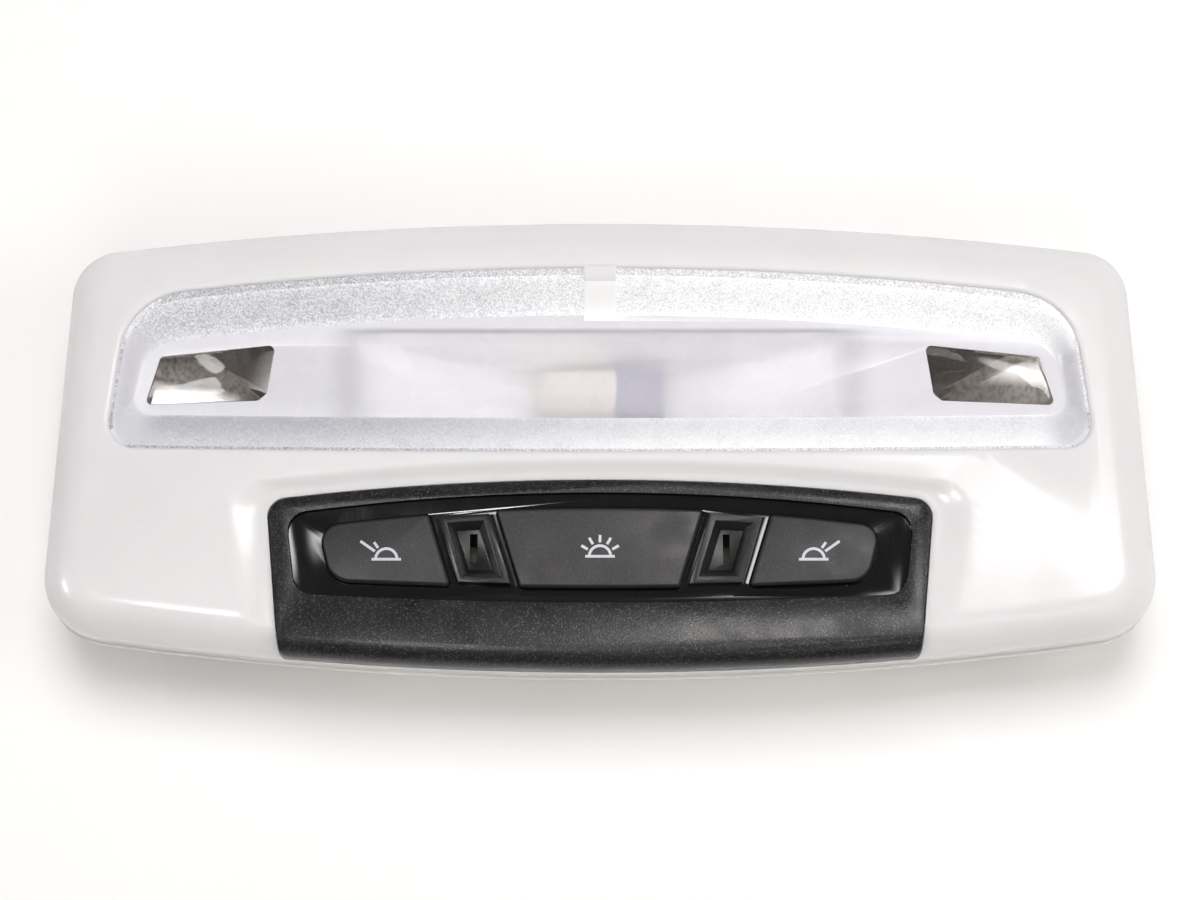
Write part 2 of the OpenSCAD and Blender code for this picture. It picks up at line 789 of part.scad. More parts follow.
// The panel's block, rounded along the front edge by a revolved profile
module panel_block() {
    reach = 60;
    sweep = 2 * asin((panel_half_w + 4) / near_bow);
    intersection() {
        plate(panel_plan, sill_z + fit, panel_z);
        translate([0, near_y + near_bow, 0]) rotate([0, 0, -90 - sweep / 2])
            rotate_extrude(angle = sweep, $fn = 720) translate([near_bow - reach, 0]) {
                translate([0, sill_z]) square([reach - panel_round, panel_z - sill_z]);
                translate([0, sill_z]) square([reach, panel_z - panel_round - sill_z]);
                translate([reach - panel_round, panel_z - panel_round]) circle(r = panel_round);
            }
    }
}

// Step at the near edge of the well, wider beside the funnels
module well_ledge() {
    translate([0, 0, well_under]) linear_extrude(well_t + well_drop - 1.1) intersection() {
        polygon(outline(inset(well_plan, -0.2)));
        union() {
            translate([-panel_half_w, row_near - 30]) square([2 * panel_half_w, 30 - 1.5]);
            both_sides() translate([funnel_x0 - 3.4, row_near - 30]) square([funnel_w, 30 - 1]);
        }
    }
}

module screw_bosses() {
    both_sides() for (p = screw_at)
        translate([p[0], p[1], board_top]) difference() {
            cylinder(r = 2.6, h = well_under - board_top + 0.2);
            translate([0, 0, -past])
                cylinder(r = screw_r + 0.05, h = well_under - board_top - 0.9 + past);
        }
}

module switch_bezel() {
    front_d = 7.5;
    color("darkslategray") {
        difference() {
            panel_block();
            plate(inset(panel_plan, panel_t), rim_z, well_under);
            intersection() {
                plate(inset(panel_plan, panel_t), rim_z, panel_z - panel_t);
                translate([-panel_half_w, near_y, 0]) cube([2 * panel_half_w, front_d, above]);
            }
            difference() {
                plate(well_plan, well_z, above);
                well_ledge();
            }
            for (place = places)
                translate([0, 0, rim_z]) linear_extrude(above)
                    offset(delta = button_gap) button_shape(place);
            both_sides() translate([0, 0, rim_z]) linear_extrude(above) funnel_shape();
        }
        screw_bosses();
    }
}

module light_funnel(side) {
    mouth = 1.1;
    floor_inset = 2.4;
    top = button_z - 0.3;
    floor_z0 = well_under + 0.8;
    slot_x = (funnel_x0 + funnel_x1) / 2;
    color("black") on_side(side) difference() {
        translate([0, 0, well_under]) linear_extrude(top - well_under) funnel_shape();
        hull() {
            translate([0, 0, top]) linear_extrude(past) offset(delta = -mouth) funnel_shape();
            translate([0, 0, floor_z0]) linear_extrude(thin) offset(delta = -floor_inset) funnel_shape();
        }
        translate([slot_x - slot_w / 2, row_mid - slot_l / 2, well_under - past])
            cube([slot_w, slot_l, above]);
    }
}

// Buttons

function switch_x(place) = place * side_switch_x;

stem_r = plunger_r - 0.1;

module button(place) {
    skirt_t = 1;
    edge = 0.4;
    catch_top = well_under - 0.1;
    catch_h = 0.8;
    skirt_z = catch_top - catch_h;
    color("dimgray") {
        difference() {
            hull() {
                translate([0, 0, skirt_z]) linear_extrude(button_z - edge - skirt_z) button_shape(place);
                translate([0, 0, button_z - thin]) linear_extrude(thin)
                    offset(delta = -edge) button_shape(place);
            }
            translate([0, 0, skirt_z - past]) linear_extrude(button_under - skirt_z + past)
                offset(delta = -skirt_t) button_shape(place);
        }
        translate([0, 0, skirt_z]) linear_extrude(catch_h) difference() {
            offset(delta = catch_w) button_shape(place);
            offset(delta = -skirt_t / 2) button_shape(place);
        }
        translate([switch_x(place), row_mid, plunger_top])
            cylinder(r = stem_r, h = button_under - plunger_top + 0.1);
    }
}

module switch_case(place) {
    color("darkgray") translate([switch_x(place), row_mid, board_top]) difference() {
        translate([-case_w / 2, -case_w / 2, 0]) cube([case_w, case_w, case_h]);
        translate([0, 0, 0.4]) cylinder(r = plunger_r + slide_fit, h = case_h);
    }
}

module switch_plunger(place) {
    color("ivory") translate([switch_x(place), row_mid, board_top + 0.6 + travel])
        cylinder(r = plunger_r, h = plunger_top - board_top - 0.6 - travel);
}

spring_wire = 0.4;
spring_turns = 4.5;
spring_r = plunger_r + 0.9;

// Tube along a helix between the switch's case and the button's face
module return_spring(place) {
    sides = 6;
    steps = 12 * spring_turns;
    height = button_under - case_top - spring_wire - 0.1;
    points = [for (i = [0 : steps]) for (j = [0 : sides - 1])
        let (a = 360 * spring_turns * i / steps, b = 360 * j / sides)
        let (r = spring_r + spring_wire / 2 * cos(b))
        [r * cos(a), r * sin(a), height * i / steps + spring_wire / 2 * sin(b)]];
    walls = [for (i = [0 : steps - 1]) for (j = [0 : sides - 1])
        let (p = i * sides, q = (i + 1) * sides, k = (j + 1) % sides)
        [p + j, q + j, q + k, p + k]];
    start = [for (j = [0 : sides - 1]) j];
    end = [for (j = [sides - 1 : -1 : 0]) steps * sides + j];
    color("lightsteelblue") translate([switch_x(place), row_mid, case_top + spring_wire / 2 + 0.05])
        polyhedron(points, concat([start], walls, [end]));
}

// Switch board and connector

header_y = row_mid - 3.2;
pin_w = 0.64;
pin_gap = 0.15;

module at_pins() {
    first_x = header_x - (pin_cols - 1) / 2 * pin_pitch;
    for (i = [0 : pin_cols - 1])
        for (j = [-0.5, 0.5])
            translate([first_x + i * pin_pitch, header_y + j * pin_pitch, 0]) children();
}

module switch_board() {
    tabs = [common_x, holder_mid("dome"), holder_mid("left"), holder_mid("right")];
    half_w = panel_half_w - 4.5;
    color("seagreen") difference() {
        translate([-half_w, board_near, board_under]) cube([2 * half_w, board_far - board_near, board_t]);
        both_sides() for (p = screw_at)
            translate([p[0], p[1], board_under - past])
                cylinder(r = screw_r + 0.25, h = board_t + 2 * past);
        for (x = tabs)
            translate([x - lead_w / 2 - pin_gap, lead_y - pin_gap, board_under - past])
                cube([lead_w + 2 * pin_gap, blade_t + 2 * pin_gap, board_t + 2 * past]);
        at_pins() translate([-pin_w / 2 - pin_gap, -pin_w / 2 - pin_gap, board_under - past])
            cube([pin_w + 2 * pin_gap, pin_w + 2 * pin_gap, board_t + 2 * past]);
    }
}

module ambient_led(side) {
    slot_x = (funnel_x0 + funnel_x1) / 2;
    size = [3.5, 2.8, 1.9];
    color("lemonchiffon") translate([side * slot_x - size[0] / 2, row_mid - size[1] / 2, board_top])
        cube(size);
}

header_z = 1;
header_t = 1.4;

module connector_header() {
    inner_w = header_w - 2 * header_t;
    inner_d = header_d - 2 * header_t;
    color("whitesmoke") difference() {
        translate([header_x - header_w / 2, header_y - header_d / 2, header_z])
            cube([header_w, header_d, board_under - header_z]);
        translate([header_x - inner_w / 2, header_y - inner_d / 2, header_z - past])
            cube([inner_w, inner_d, socket_h + past]);
        translate([header_x - 2, header_y + inner_d / 2 - past, header_z - past])
            cube([4, header_t / 2 + past, socket_h - 3]);
        at_pins() translate([-pin_w / 2, -pin_w / 2, header_z]) cube([pin_w, pin_w, above]);
    }
}

module connector_pins() {
    pin_z = header_z + socket_h - 5.4;
    color("khaki") at_pins() translate([-pin_w / 2, -pin_w / 2, pin_z])
        cube([pin_w, pin_w, board_top + 0.8 - pin_z]);
}

module bezel_screws() {
    head_z = floor_z + 0.4;
    tip_z = well_under - 1.4;
    color("gray") both_sides() for (p = screw_at)
        translate([p[0], p[1], 0]) difference() {
            union() {
                translate([0, 0, head_z]) cylinder(r = head_r, h = head_h);
                translate([0, 0, head_z]) cylinder(r = screw_r, h = tip_z - head_z);
            }
            for (a = [0, 90])
                rotate([0, 0, a]) translate([-1.6, -0.4, head_z - past]) cube([3.2, 0.8, past + 1.2]);
        }
}

lens_cover();
reading_window(-1);  // reading_window_left
reading_window(1);  // reading_window_right
housing();
dome_reflector();
reading_reflector(-1);  // reading_reflector_left
reading_reflector(1);  // reading_reflector_right
lamp_holder("dome");  // lamp_holder_dome
lamp_holder("left");  // lamp_holder_left
lamp_holder("right");  // lamp_holder_right
bulb("dome");  // bulb_dome
bulb("left");  // bulb_left
bulb("right");  // bulb_right
filament("dome");  // filament_dome
filament("left");  // filament_left
filament("right");  // filament_right
lead_common();
lead_feed("dome");  // lead_dome
lead_feed("left");  // lead_reading_left
lead_feed("right");  // lead_reading_right
switch_bezel();
light_funnel(-1);  // light_funnel_left
light_funnel(1);  // light_funnel_right
button(-1);  // button_left
button(0);  // button_centre
button(1);  // button_right
switch_case(-1);  // switch_case_left
switch_case(0);  // switch_case_centre
switch_case(1);  // switch_case_right
switch_plunger(-1);  // switch_plunger_left
switch_plunger(0);  // switch_plunger_centre
switch_plunger(1);  // switch_plunger_right
return_spring(-1);  // return_spring_left
return_spring(0);  // return_spring_centre
return_spring(1);  // return_spring_right
switch_board();
ambient_led(-1);  // ambient_led_left
ambient_led(1);  // ambient_led_right
connector_header();
connector_pins();
bezel_screws();
spring_clip(0, -1);  // spring_clip_far_left
spring_clip(0, 1);  // spring_clip_far_right
spring_clip(1, -1);  // spring_clip_near_left
spring_clip(1, 1);  // spring_clip_near_right
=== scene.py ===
"""Looks of an overhead car lamp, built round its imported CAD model.

The lens is rebuilt here with finer curves from the same plan as the CAD source. The other
visible pieces are copies of the CAD nodes with rounded edges. Every piece gets a procedural
finish. Sizes are in millimetres of the part's own frame unless a name says otherwise.
"""

import logging
import math
from dataclasses import dataclass
from enum import Enum, IntEnum
from typing import Any, Callable, Sequence, Union

import bmesh
import bpy
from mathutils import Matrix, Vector

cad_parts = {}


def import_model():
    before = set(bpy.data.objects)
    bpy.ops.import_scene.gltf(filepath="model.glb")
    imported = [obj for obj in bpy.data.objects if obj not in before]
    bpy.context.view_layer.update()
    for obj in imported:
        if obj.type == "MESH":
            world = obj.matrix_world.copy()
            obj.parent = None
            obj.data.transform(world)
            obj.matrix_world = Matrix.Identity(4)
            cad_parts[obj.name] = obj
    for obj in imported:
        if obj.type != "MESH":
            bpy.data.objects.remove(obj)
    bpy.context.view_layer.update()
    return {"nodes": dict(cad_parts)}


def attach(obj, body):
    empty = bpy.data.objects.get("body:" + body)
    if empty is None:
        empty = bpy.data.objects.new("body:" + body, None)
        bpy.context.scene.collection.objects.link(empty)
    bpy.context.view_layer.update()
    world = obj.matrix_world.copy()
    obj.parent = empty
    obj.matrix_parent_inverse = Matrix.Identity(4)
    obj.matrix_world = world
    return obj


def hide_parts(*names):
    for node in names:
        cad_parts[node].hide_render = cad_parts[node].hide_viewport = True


Point = tuple[float, float]
Span = tuple[float, float]
Triple = tuple[float, float, float]
Colour = tuple[int, int, int]
Socket = bpy.types.NodeSocket
Value = Union[float, Socket]

MM = 0.001
LAMP = "lamp"
# The part of a noise's range that most of it lies in
MIDDLE = (0.3, 0.7)
# Bow radius of an edge that is nearly straight
STRAIGHT = 5000
# A corner that moves inwards keeps this share of its radius, less this much per millimetre
CORNER_KEPT, CORNER_LOSS = 0.6, 0.04
# Points of a CAD mesh nearer than this are one, and faces within this many degrees are one
MERGE, FLAT_ANGLE = 0.0005, 0.4

log = logging.getLogger("dome_light")


class Side(Enum):
    """Which of a mirrored pair of pieces, with its direction along X."""

    LEFT = -1
    RIGHT = 1

    @property
    def word(self) -> str:
        """The side's word in node names."""
        return self.name.lower()


def linear(colour: Colour) -> tuple[float, float, float, float]:
    """Turn a screen colour into a linear one.

    Args:
        colour: Red, green and blue from 0 to 255, as seen on a screen.

    Returns:
        Linear red, green and blue from 0 to 1, and a full alpha.
    """
    parts = [c / 255 for c in colour]
    red, green, blue = (p / 12.92 if p <= 0.04045 else ((p + 0.055) / 1.055) ** 2.4 for p in parts)
    return red, green, blue, 1.0


def shaded(colour: Colour, share: float) -> Colour:
    """Lighten or darken a screen colour.

    Args:
        colour: The screen colour.
        share: What each part is multiplied by.

    Returns:
        The new colour, kept within 0 to 255.
    """
    red, green, blue = (max(0, min(255, round(c * share))) for c in colour)
    return red, green, blue


class Cells(Enum):
    """What a cell texture measures, with Blender's name for it."""

    NEAREST = "F1"
    SOFT = "SMOOTH_F1"
    EDGE = "DISTANCE_TO_EDGE"


class Tree:
    """Adds nodes to a node tree."""

    def __init__(self, tree: bpy.types.NodeTree) -> None:
        """Empty the tree.

        Args:
            tree: The node tree.
        """
        self.tree = tree
        self.tree.nodes.clear()

    def node(self, kind: str, inputs: dict[Any, Any], **settings: Any) -> bpy.types.Node:
        """Add a node.

        Args:
            kind: Blender's name for the node.
            inputs: Input names or numbers, each with a constant or a socket to link.
            settings: The node's own properties.

        Returns:
            The new node.
        """
        made = self.tree.nodes.new(kind)
        for name, value in settings.items():
            setattr(made, name, value)
        for name, value in inputs.items():
            if isinstance(value, bpy.types.NodeSocket):
                self.tree.links.new(value, made.inputs[name])
            else:
                made.inputs[name].default_value = value
        return made

    def math(self, operation: str, a: Value, b: Value = 0.0) -> Socket:
        """Apply a math operation to one or two values."""
        return self.node("ShaderNodeMath", {0: a, 1: b}, operation=operation).outputs[0]

    def times(self, a: Value, b: Value) -> Socket:
        """Multiply two values."""
        return self.math("MULTIPLY", a, b)

    def plus(self, a: Value, b: Value) -> Socket:
        """Add two values."""
        return self.math("ADD", a, b)

    def minus(self, a: Value, b: Value) -> Socket:
        """Take b from a."""
        return self.math("SUBTRACT", a, b)

    def fade(self, value: Value, low: float, high: float, start: float = 0.0,
             end: float = 1.0) -> Socket:
        """Map a value from one range to another, smoothly and with its ends held.

        Args:
            value: The value to map.
            low: Where the result is start.
            high: Where the result is end.
            start: The result at low.
            end: The result at high.

        Returns:
            The mapped value.
        """
        inputs = {"Value": value, "From Min": low, "From Max": high, "To Min": start, "To Max": end}
        return self.node("ShaderNodeMapRange", inputs, interpolation_type="SMOOTHSTEP").outputs[0]

    def mix_shaders(self, factor: Value, a: Socket, b: Socket) -> Socket:
        """Mix two shaders."""
        return self.node("ShaderNodeMixShader", {0: factor, 1: a, 2: b}).outputs[0]


class Graph(Tree):
    """Node tree of one material, with its coordinates in millimetres."""

    def __init__(self, name: str) -> None:
        """Make a material with an empty tree.

        Args:
            name: The material's name.
        """
        self.material = bpy.data.materials.new(name)
        self.material.use_nodes = True
        super().__init__(self.material.node_tree)
        where = self.node("ShaderNodeTexCoord", {}).outputs["Object"]
        self.place = self.vector("SCALE", where, 1 / MM)

    def vector(self, operation: str, a: Socket, b: Any) -> Socket:
        """Apply a vector operation, with b as the scale or the second vector."""
        name = "Scale" if operation == "SCALE" else 1
        return self.node("ShaderNodeVectorMath", {0: a, name: b}, operation=operation).outputs[0]

    def axes(self) -> tuple[Socket, Socket, Socket]:
        """The place's X, Y and Z in millimetres."""
        made = self.node("ShaderNodeSeparateXYZ", {0: self.place})
        return made.outputs[0], made.outputs[1], made.outputs[2]

    def noise(self, size: float, detail: float = 2.0, stretch: Triple = (1, 1, 1)) -> Socket:
        """Cloudy noise.

        Args:
            size: Size of its features.
            detail: How many finer layers it has.
            stretch: How much it is squeezed along each axis.

        Returns:
            A value about 0.5.
        """
        place = self.vector("MULTIPLY", self.place, stretch)
        inputs = {"Vector": place, "Scale": 1 / size, "Detail": detail}
        return self.node("ShaderNodeTexNoise", inputs).outputs[0]

    def cells(self, size: float, kind: Cells = Cells.NEAREST) -> bpy.types.Node:
        """Voronoi cells of about the given size."""
        inputs = {"Vector": self.place, "Scale": 1 / size}
        return self.node("ShaderNodeTexVoronoi", inputs, feature=kind.value)

    def lot(self, cells: bpy.types.Node, channel: int) -> Socket:
        """A value from 0 to 1 that each cell draws by lot."""
        return self.node("ShaderNodeSeparateColor", {0: cells.outputs["Color"]}).outputs[channel]

    def mix(self, factor: Value, a: Any, b: Any) -> Socket:
        """Mix two colours, each a socket or a linear colour."""
        return self.node("ShaderNodeMix", {0: factor, 6: a, 7: b}, data_type="RGBA").outputs[2]

    def specks(self, spacing: float, size: float, share: float) -> Socket:
        """Small scattered spots.

        Args:
            spacing: Usual distance between the cells that may hold a spot.
            size: Radius of a spot, as a share of the spacing.
            share: Share of the cells that hold one.

        Returns:
            1 on a spot and 0 beside it.
        """
        made = self.cells(spacing)
        chosen = self.math("LESS_THAN", self.lot(made, 0), share)
        return self.times(chosen, self.fade(made.outputs["Distance"], size, 0.6 * size))

    def bump(self, height: Value, depth: float, normal: Socket | None = None) -> Socket:
        """Bend the normal by a height.

        Args:
            height: The height, from 0 to 1.
            depth: How deep 1 is, in millimetres.
            normal: A normal to build on.

        Returns:
            The bent normal.
        """
        inputs: dict[str, Any] = {"Height": height, "Distance": depth * MM, "Strength": 1.0}
        if normal is not None:
            inputs["Normal"] = normal
        return self.node("ShaderNodeBump", inputs).outputs[0]

    def principled(self, **inputs: Any) -> Socket:
        """The main shader. Each keyword is an input's name with _ for a space."""
        named = {name.replace("_", " "): value for name, value in inputs.items()}
        return self.node("ShaderNodeBsdfPrincipled", named).outputs[0]

    def lit_through(self, shader: Socket, tint: Colour, share: Value = 1.0) -> Socket:
        """Let the lamps' light through a shader that would else throw a full shadow.

        Args:
            shader: What the eye sees.
            tint: Colour of the light that passes.
            share: Share of the shadow that is replaced by this light.

        Returns:
            The shader with its light.
        """
        clear = self.node("ShaderNodeBsdfTransparent", {"Color": linear(tint)}).outputs[0]
        shadow = self.node("ShaderNodeLightPath", {}).outputs["Is Shadow Ray"]
        return self.mix_shaders(self.times(shadow, share), shader, clear)

    def finish(self, shader: Socket) -> bpy.types.Material:
        """Link the shader to the output and give the material."""
        self.node("ShaderNodeOutputMaterial", {"Surface": shader})
        return self.material


@dataclass(frozen=True)
class Finish:
    """What all finishes share."""

    name: str
    slot: str
    colour: Colour
    roughness: float = 0.4

    def material(self) -> bpy.types.Material:
        """Build the finish's material, once."""
        found = bpy.data.materials.get(self.name)
        return found or self.build(Graph(self.name))

    def build(self, g: Graph) -> bpy.types.Material:
        """Fill the node tree. Each kind of finish has its own."""
        raise NotImplementedError


@dataclass(frozen=True)
class Moulded(Finish):
    """Moulded plastic with a fine grain, cloudy colour, uneven gloss and dust."""

    mottle: float = 0.04
    mottle_size: float = 14
    grain: float = 0.35
    depth: float = 0.006
    specular: float = 0.5
    dust: float = 0.05
    dust_colour: Colour = (214, 212, 208)
    # How strongly a few grain cells are lightened towards the dust colour, as painted glints
    painted_glints: float = 0.0
    scratch: float = 0.0
    scatter: float = 0.0
    scatter_radius: Triple = (3.0, 3.0, 3.2)
    dust_specks: tuple[Span, Span] = ((1.9, 0.055), (5.5, 0.022))
    dust_cover: float = 0.7
    glint_lots: Span = (0.8, 1.0)
    cell_kind: Cells = Cells.SOFT
    wander: float = 0.18
    scratch_width: float = 0.012

    def coloured(self, g: Graph) -> Socket:
        """The colour with its clouds, painted glints and dust.

        Args:
            g: The material's tree.

        Returns:
            The colour.
        """
        dark, light = (linear(shaded(self.colour, 1 + k * self.mottle)) for k in (-1, 1))
        pale = linear(self.dust_colour)
        colour = g.mix(g.fade(g.noise(self.mottle_size, 4), *MIDDLE), dark, light)
        # Painted glints: a few grain cells are lightened towards the dust colour
        if self.painted_glints:
            glints = g.lot(g.cells(0.55 * self.grain), 1)
            colour = g.mix(g.times(g.fade(glints, *self.glint_lots), self.painted_glints), colour, pale)
        if self.dust:
            small, large = (g.specks(gap, size, self.dust) for gap, size in self.dust_specks)
            colour = g.mix(g.times(g.math("MAXIMUM", small, large), self.dust_cover), colour, pale)
        return colour

    def rough(self, g: Graph) -> Socket:
        """The roughness, which wanders a little and grows in scratches.

        Args:
            g: The material's tree.

        Returns:
            The roughness.
        """
        spread = self.wander * self.roughness
        value = g.fade(g.noise(6, 3), *MIDDLE, self.roughness - spread, self.roughness + spread)
        if self.scratch:
            lines = g.noise(0.9, 2, (1, 0.06, 1))
            mark = g.fade(g.math("ABSOLUTE", g.minus(lines, 0.5)), self.scratch_width, 0.0)
            value = g.plus(value, g.times(mark, self.scratch))
        return value

    def normal(self, g: Graph) -> Socket:
        """The grain as a bump.

        Args:
            g: The material's tree.

        Returns:
            The bent normal.
        """
        ridges = g.cells(self.grain, self.cell_kind).outputs["Distance"]
        return g.bump(g.plus(g.times(g.noise(0.5 * self.grain, 2), 0.5), ridges), self.depth)

    def plastic(self, g: Graph, **coat: float) -> Socket:
        """The plastic's main shader.

        Args:
            g: The material's tree.
            coat: Inputs for a coat, if it has one.

        Returns:
            The shader.
        """
        return g.principled(
            Base_Color=self.coloured(g), Roughness=self.rough(g), Normal=self.normal(g),
            Specular_IOR_Level=self.specular, Subsurface_Weight=self.scatter,
            Subsurface_Scale=MM, Subsurface_Radius=self.scatter_radius, **coat)

    def build(self, g: Graph) -> bpy.types.Material:
        """Fill the node tree.

        Args:
            g: The material's tree.

        Returns:
            The material.
        """
        return g.finish(self.plastic(g))


@dataclass(frozen=True)
class Opal(Moulded):
    """Milky plastic. Inside a zone it shows softly what is behind it.

    Its grain is too shallow to see, so it takes the cells that render faster.
    """

    cell_kind: Cells = Cells.NEAREST
    mottle: float = 0.006
    grain: float = 0.6
    depth: float = 0.0008
    coat: float = 0.34
    coat_roughness: float = 0.1
    share: float = 0.0
    zone: tuple[float, float, float, float] = (-43.4, 43.4, 3.9, 19.9)
    fade_end: float = 5.0
    fade_edge: float = 0.5
    blur: float = 0.24
    index: float = 1.45
    tint: Colour = (250, 250, 252)
    passed: Colour = (207, 205, 206)

    def build(self, g: Graph) -> bpy.types.Material:
        """Fill the node tree.

        Args:
            g: The material's tree.

        Returns:
            The material.
        """
        milk = self.plastic(g, Coat_Weight=self.coat, Coat_Roughness=self.coat_roughness)
        if not self.share:
            return g.finish(milk)
        x, y, _ = g.axes()
        left, right, near, far = self.zone
        across = self.window(g, x, left, right, self.fade_end)
        inside = g.times(across, self.window(g, y, near, far, self.fade_edge))
        under = g.node("ShaderNodeNewGeometry", {}).outputs["Backfacing"]
        seen = g.times(inside, g.math("MAXIMUM", under, self.share))
        inputs = {"Color": linear(self.tint), "Roughness": self.blur, "IOR": self.index}
        through = g.node("ShaderNodeBsdfRefraction", inputs).outputs[0]
        return g.finish(g.lit_through(g.mix_shaders(seen, milk, through), self.passed, inside))

    def window(self, g: Graph, value: Socket, low: float, high: float, soft: float) -> Socket:
        """1 between two limits and 0 beyond them, with soft ends.

        Args:
            g: The material's tree.
            value: The value to test.
            low: The lower limit.
            high: The upper limit.
            soft: Half the width of each soft end.

        Returns:
            The share, from 0 to 1.
        """
        above = g.fade(value, low - soft, low + soft)
        return g.times(above, g.fade(value, high + soft, high - soft))


@dataclass(frozen=True)
class Sparkle(Moulded):
    """Opal plastic with fine grain specks, partly painted glints, strongest on the trough's far
    slope.
    """

    bright: Colour = (248, 248, 250)
    dim: Colour = (186, 186, 192)
    plain: Colour = (207, 206, 211)
    plain_y: Span = (21.0, 14.0)
    plain_share: float = 0.9
    # Painted shade on the near slope: how much it darkens, and where along Y it starts, is full and
    # ends
    near_shade: float = 0.34
    shade_y: Triple = (-2.0, 4.2, 5.0)
    # Painted light along X: the level added at the +X end, the level (below 0, painted shade) at
    # the -X end, and where it changes
    painted_light: float = 0.42
    painted_light_left: float = -0.14
    painted_light_x: Span = (-62.0, 32.0)
    cloud_level: Span = (0.48, 0.52)
    cell: float = 0.2
    contrast: float = 0.7
    far_y: Span = (12.0, 23.0)
    end_x: Span = (75.0, 80.0)
    calm: float = 0.4

    def build(self, g: Graph) -> bpy.types.Material:
        """Fill the node tree.

        Args:
            g: The material's tree.

        Returns:
            The material.
        """
        x, y, _ = g.axes()
        part = g.lot(g.cells(self.cell), 0)
        coarse = g.noise(2.2 * self.cell, 2)
        speck = g.plus(g.times(part, self.contrast), g.times(coarse, self.contrast))
        side = g.times(g.fade(g.math("ABSOLUTE", x), *self.end_x), g.fade(y, *self.plain_y))
        ends = g.times(side, self.plain_share)
        strength = g.times(g.fade(y, *self.far_y, self.calm, 1.0), g.minus(1.0, ends))
        # Speckled grain tone, partly painted glints, strongest on the far slope
        grain_and_glints = g.times(g.minus(speck, self.contrast), strength)
        low, edge, high = self.shade_y
        # Painted shade on the near slope
        shade = g.times(g.fade(y, high, edge), g.fade(y, low, edge, 0.0, self.near_shade))
        # Painted light: lighter towards +X and darker towards -X, less the painted shade
        painted_light = g.minus(g.fade(x, *self.painted_light_x, self.painted_light_left, self.painted_light), shade)
        clouds = g.fade(g.noise(6, 2), *MIDDLE, *self.cloud_level)
        level = g.node("ShaderNodeClamp", {0: g.plus(g.plus(grain_and_glints, clouds), painted_light)}).outputs[0]
        grain = g.mix(level, linear(self.dim), linear(self.bright))
        colour = g.mix(ends, grain, linear(self.plain))
        ridges = g.cells(self.cell, self.cell_kind).outputs["Distance"]
        height = g.times(g.plus(part, ridges), strength)
        return g.finish(g.principled(
            Base_Color=colour, Roughness=self.rough(g), Normal=g.bump(height, self.depth),
            Specular_IOR_Level=self.specular))


@dataclass(frozen=True)
class Clear(Finish):
    """Clear plastic or glass that lets the lamps' light through."""

    smear: float = 0.02
    index: float = 1.49
    wave: float = 0.02
    cloud_shade: float = 0.975

    def build(self, g: Graph) -> bpy.types.Material:
        """Fill the node tree.

        Args:
            g: The material's tree.

        Returns:
            The material.
        """
        rough = g.fade(g.noise(5, 4), 0.45, 0.75, self.roughness, self.roughness + self.smear)
        darker = linear(shaded(self.colour, self.cloud_shade))
        colour = g.mix(g.fade(g.noise(9, 2), *MIDDLE), linear(self.colour), darker)
        glass = g.principled(
            Base_Color=colour, Roughness=rough, Normal=g.bump(g.noise(7, 1), self.wave),
            Transmission_Weight=1.0, IOR=self.index)
        return g.finish(g.lit_through(glass, self.colour))


@dataclass(frozen=True)
class Metal(Finish):
    """Metal or a metallised skin, with fine streaks, cloudy tint and a soft ripple."""

    ripple: float = 0.01
    ripple_size: float = 4.0
    streak: Triple = (1, 1, 1)
    tarnish: float = 0.08
    rough_range: Span = (0.7, 1.4)

    def build(self, g: Graph) -> bpy.types.Material:
        """Fill the node tree.

        Args:
            g: The material's tree.

        Returns:
            The material.
        """
        light, dark = linear(self.colour), linear(shaded(self.colour, 1 - self.tarnish))
        colour = g.mix(g.fade(g.noise(3.5, 4), 0.3, 0.75), light, dark)
        low, high = (k * self.roughness for k in self.rough_range)
        rough = g.fade(g.noise(0.8, 3, self.streak), *MIDDLE, low, high)
        normal = g.bump(g.noise(self.ripple_size, 2), self.ripple)
        return g.finish(g.principled(
            Base_Color=colour, Roughness=rough, Normal=normal, Metallic=1.0))


@dataclass(frozen=True)
class Board(Finish):
    """Circuit board lacquer, with darker tracks and pads under it."""

    track: Colour = (24, 62, 41)
    track_edge: Span = (0.10, 0.14)
    gloss: Span = (0.25, 0.42)

    def build(self, g: Graph) -> bpy.types.Material:
        """Fill the node tree.

        Args:
            g: The material's tree.

        Returns:
            The material.
        """
        cells = g.cells(2.6, Cells.EDGE).outputs["Distance"]
        tracks = g.fade(cells, *self.track_edge)
        colour = g.mix(tracks, linear(self.colour), linear(self.track))
        weave = g.noise(0.5, 2, (1, 0.2, 1))
        normal = g.bump(g.plus(tracks, g.times(weave, 0.3)), 0.02)
        return g.finish(g.principled(
            Base_Color=colour, Roughness=g.fade(weave, *MIDDLE, *self.gloss), Normal=normal,
            Specular_IOR_Level=0.5))


@dataclass(frozen=True)
class Paper(Finish):
    """Plain pale floor with a faint tone."""

    def build(self, g: Graph) -> bpy.types.Material:
        """Fill the node tree.

        Args:
            g: The material's tree.

        Returns:
            The material.
        """
        tone = g.mix(g.noise(260, 2), linear(self.colour), linear(shaded(self.colour, 0.985)))
        return g.finish(g.principled(Base_Color=tone, Roughness=0.8, Specular_IOR_Level=0.15))


LENS_SHELL = Opal("opal_shell", "opal_lens", (222, 220, 221), 0.38, dust_colour=(170, 168, 165),
                  specular=0.45, scatter=0.6)
LENS_FLOOR = Opal("opal_floor", "opal_lens", (215, 214, 219), 0.26, mottle=0.008, dust=0.08,
                  dust_colour=(160, 158, 160), specular=0.3, coat=0.2, share=0.55)
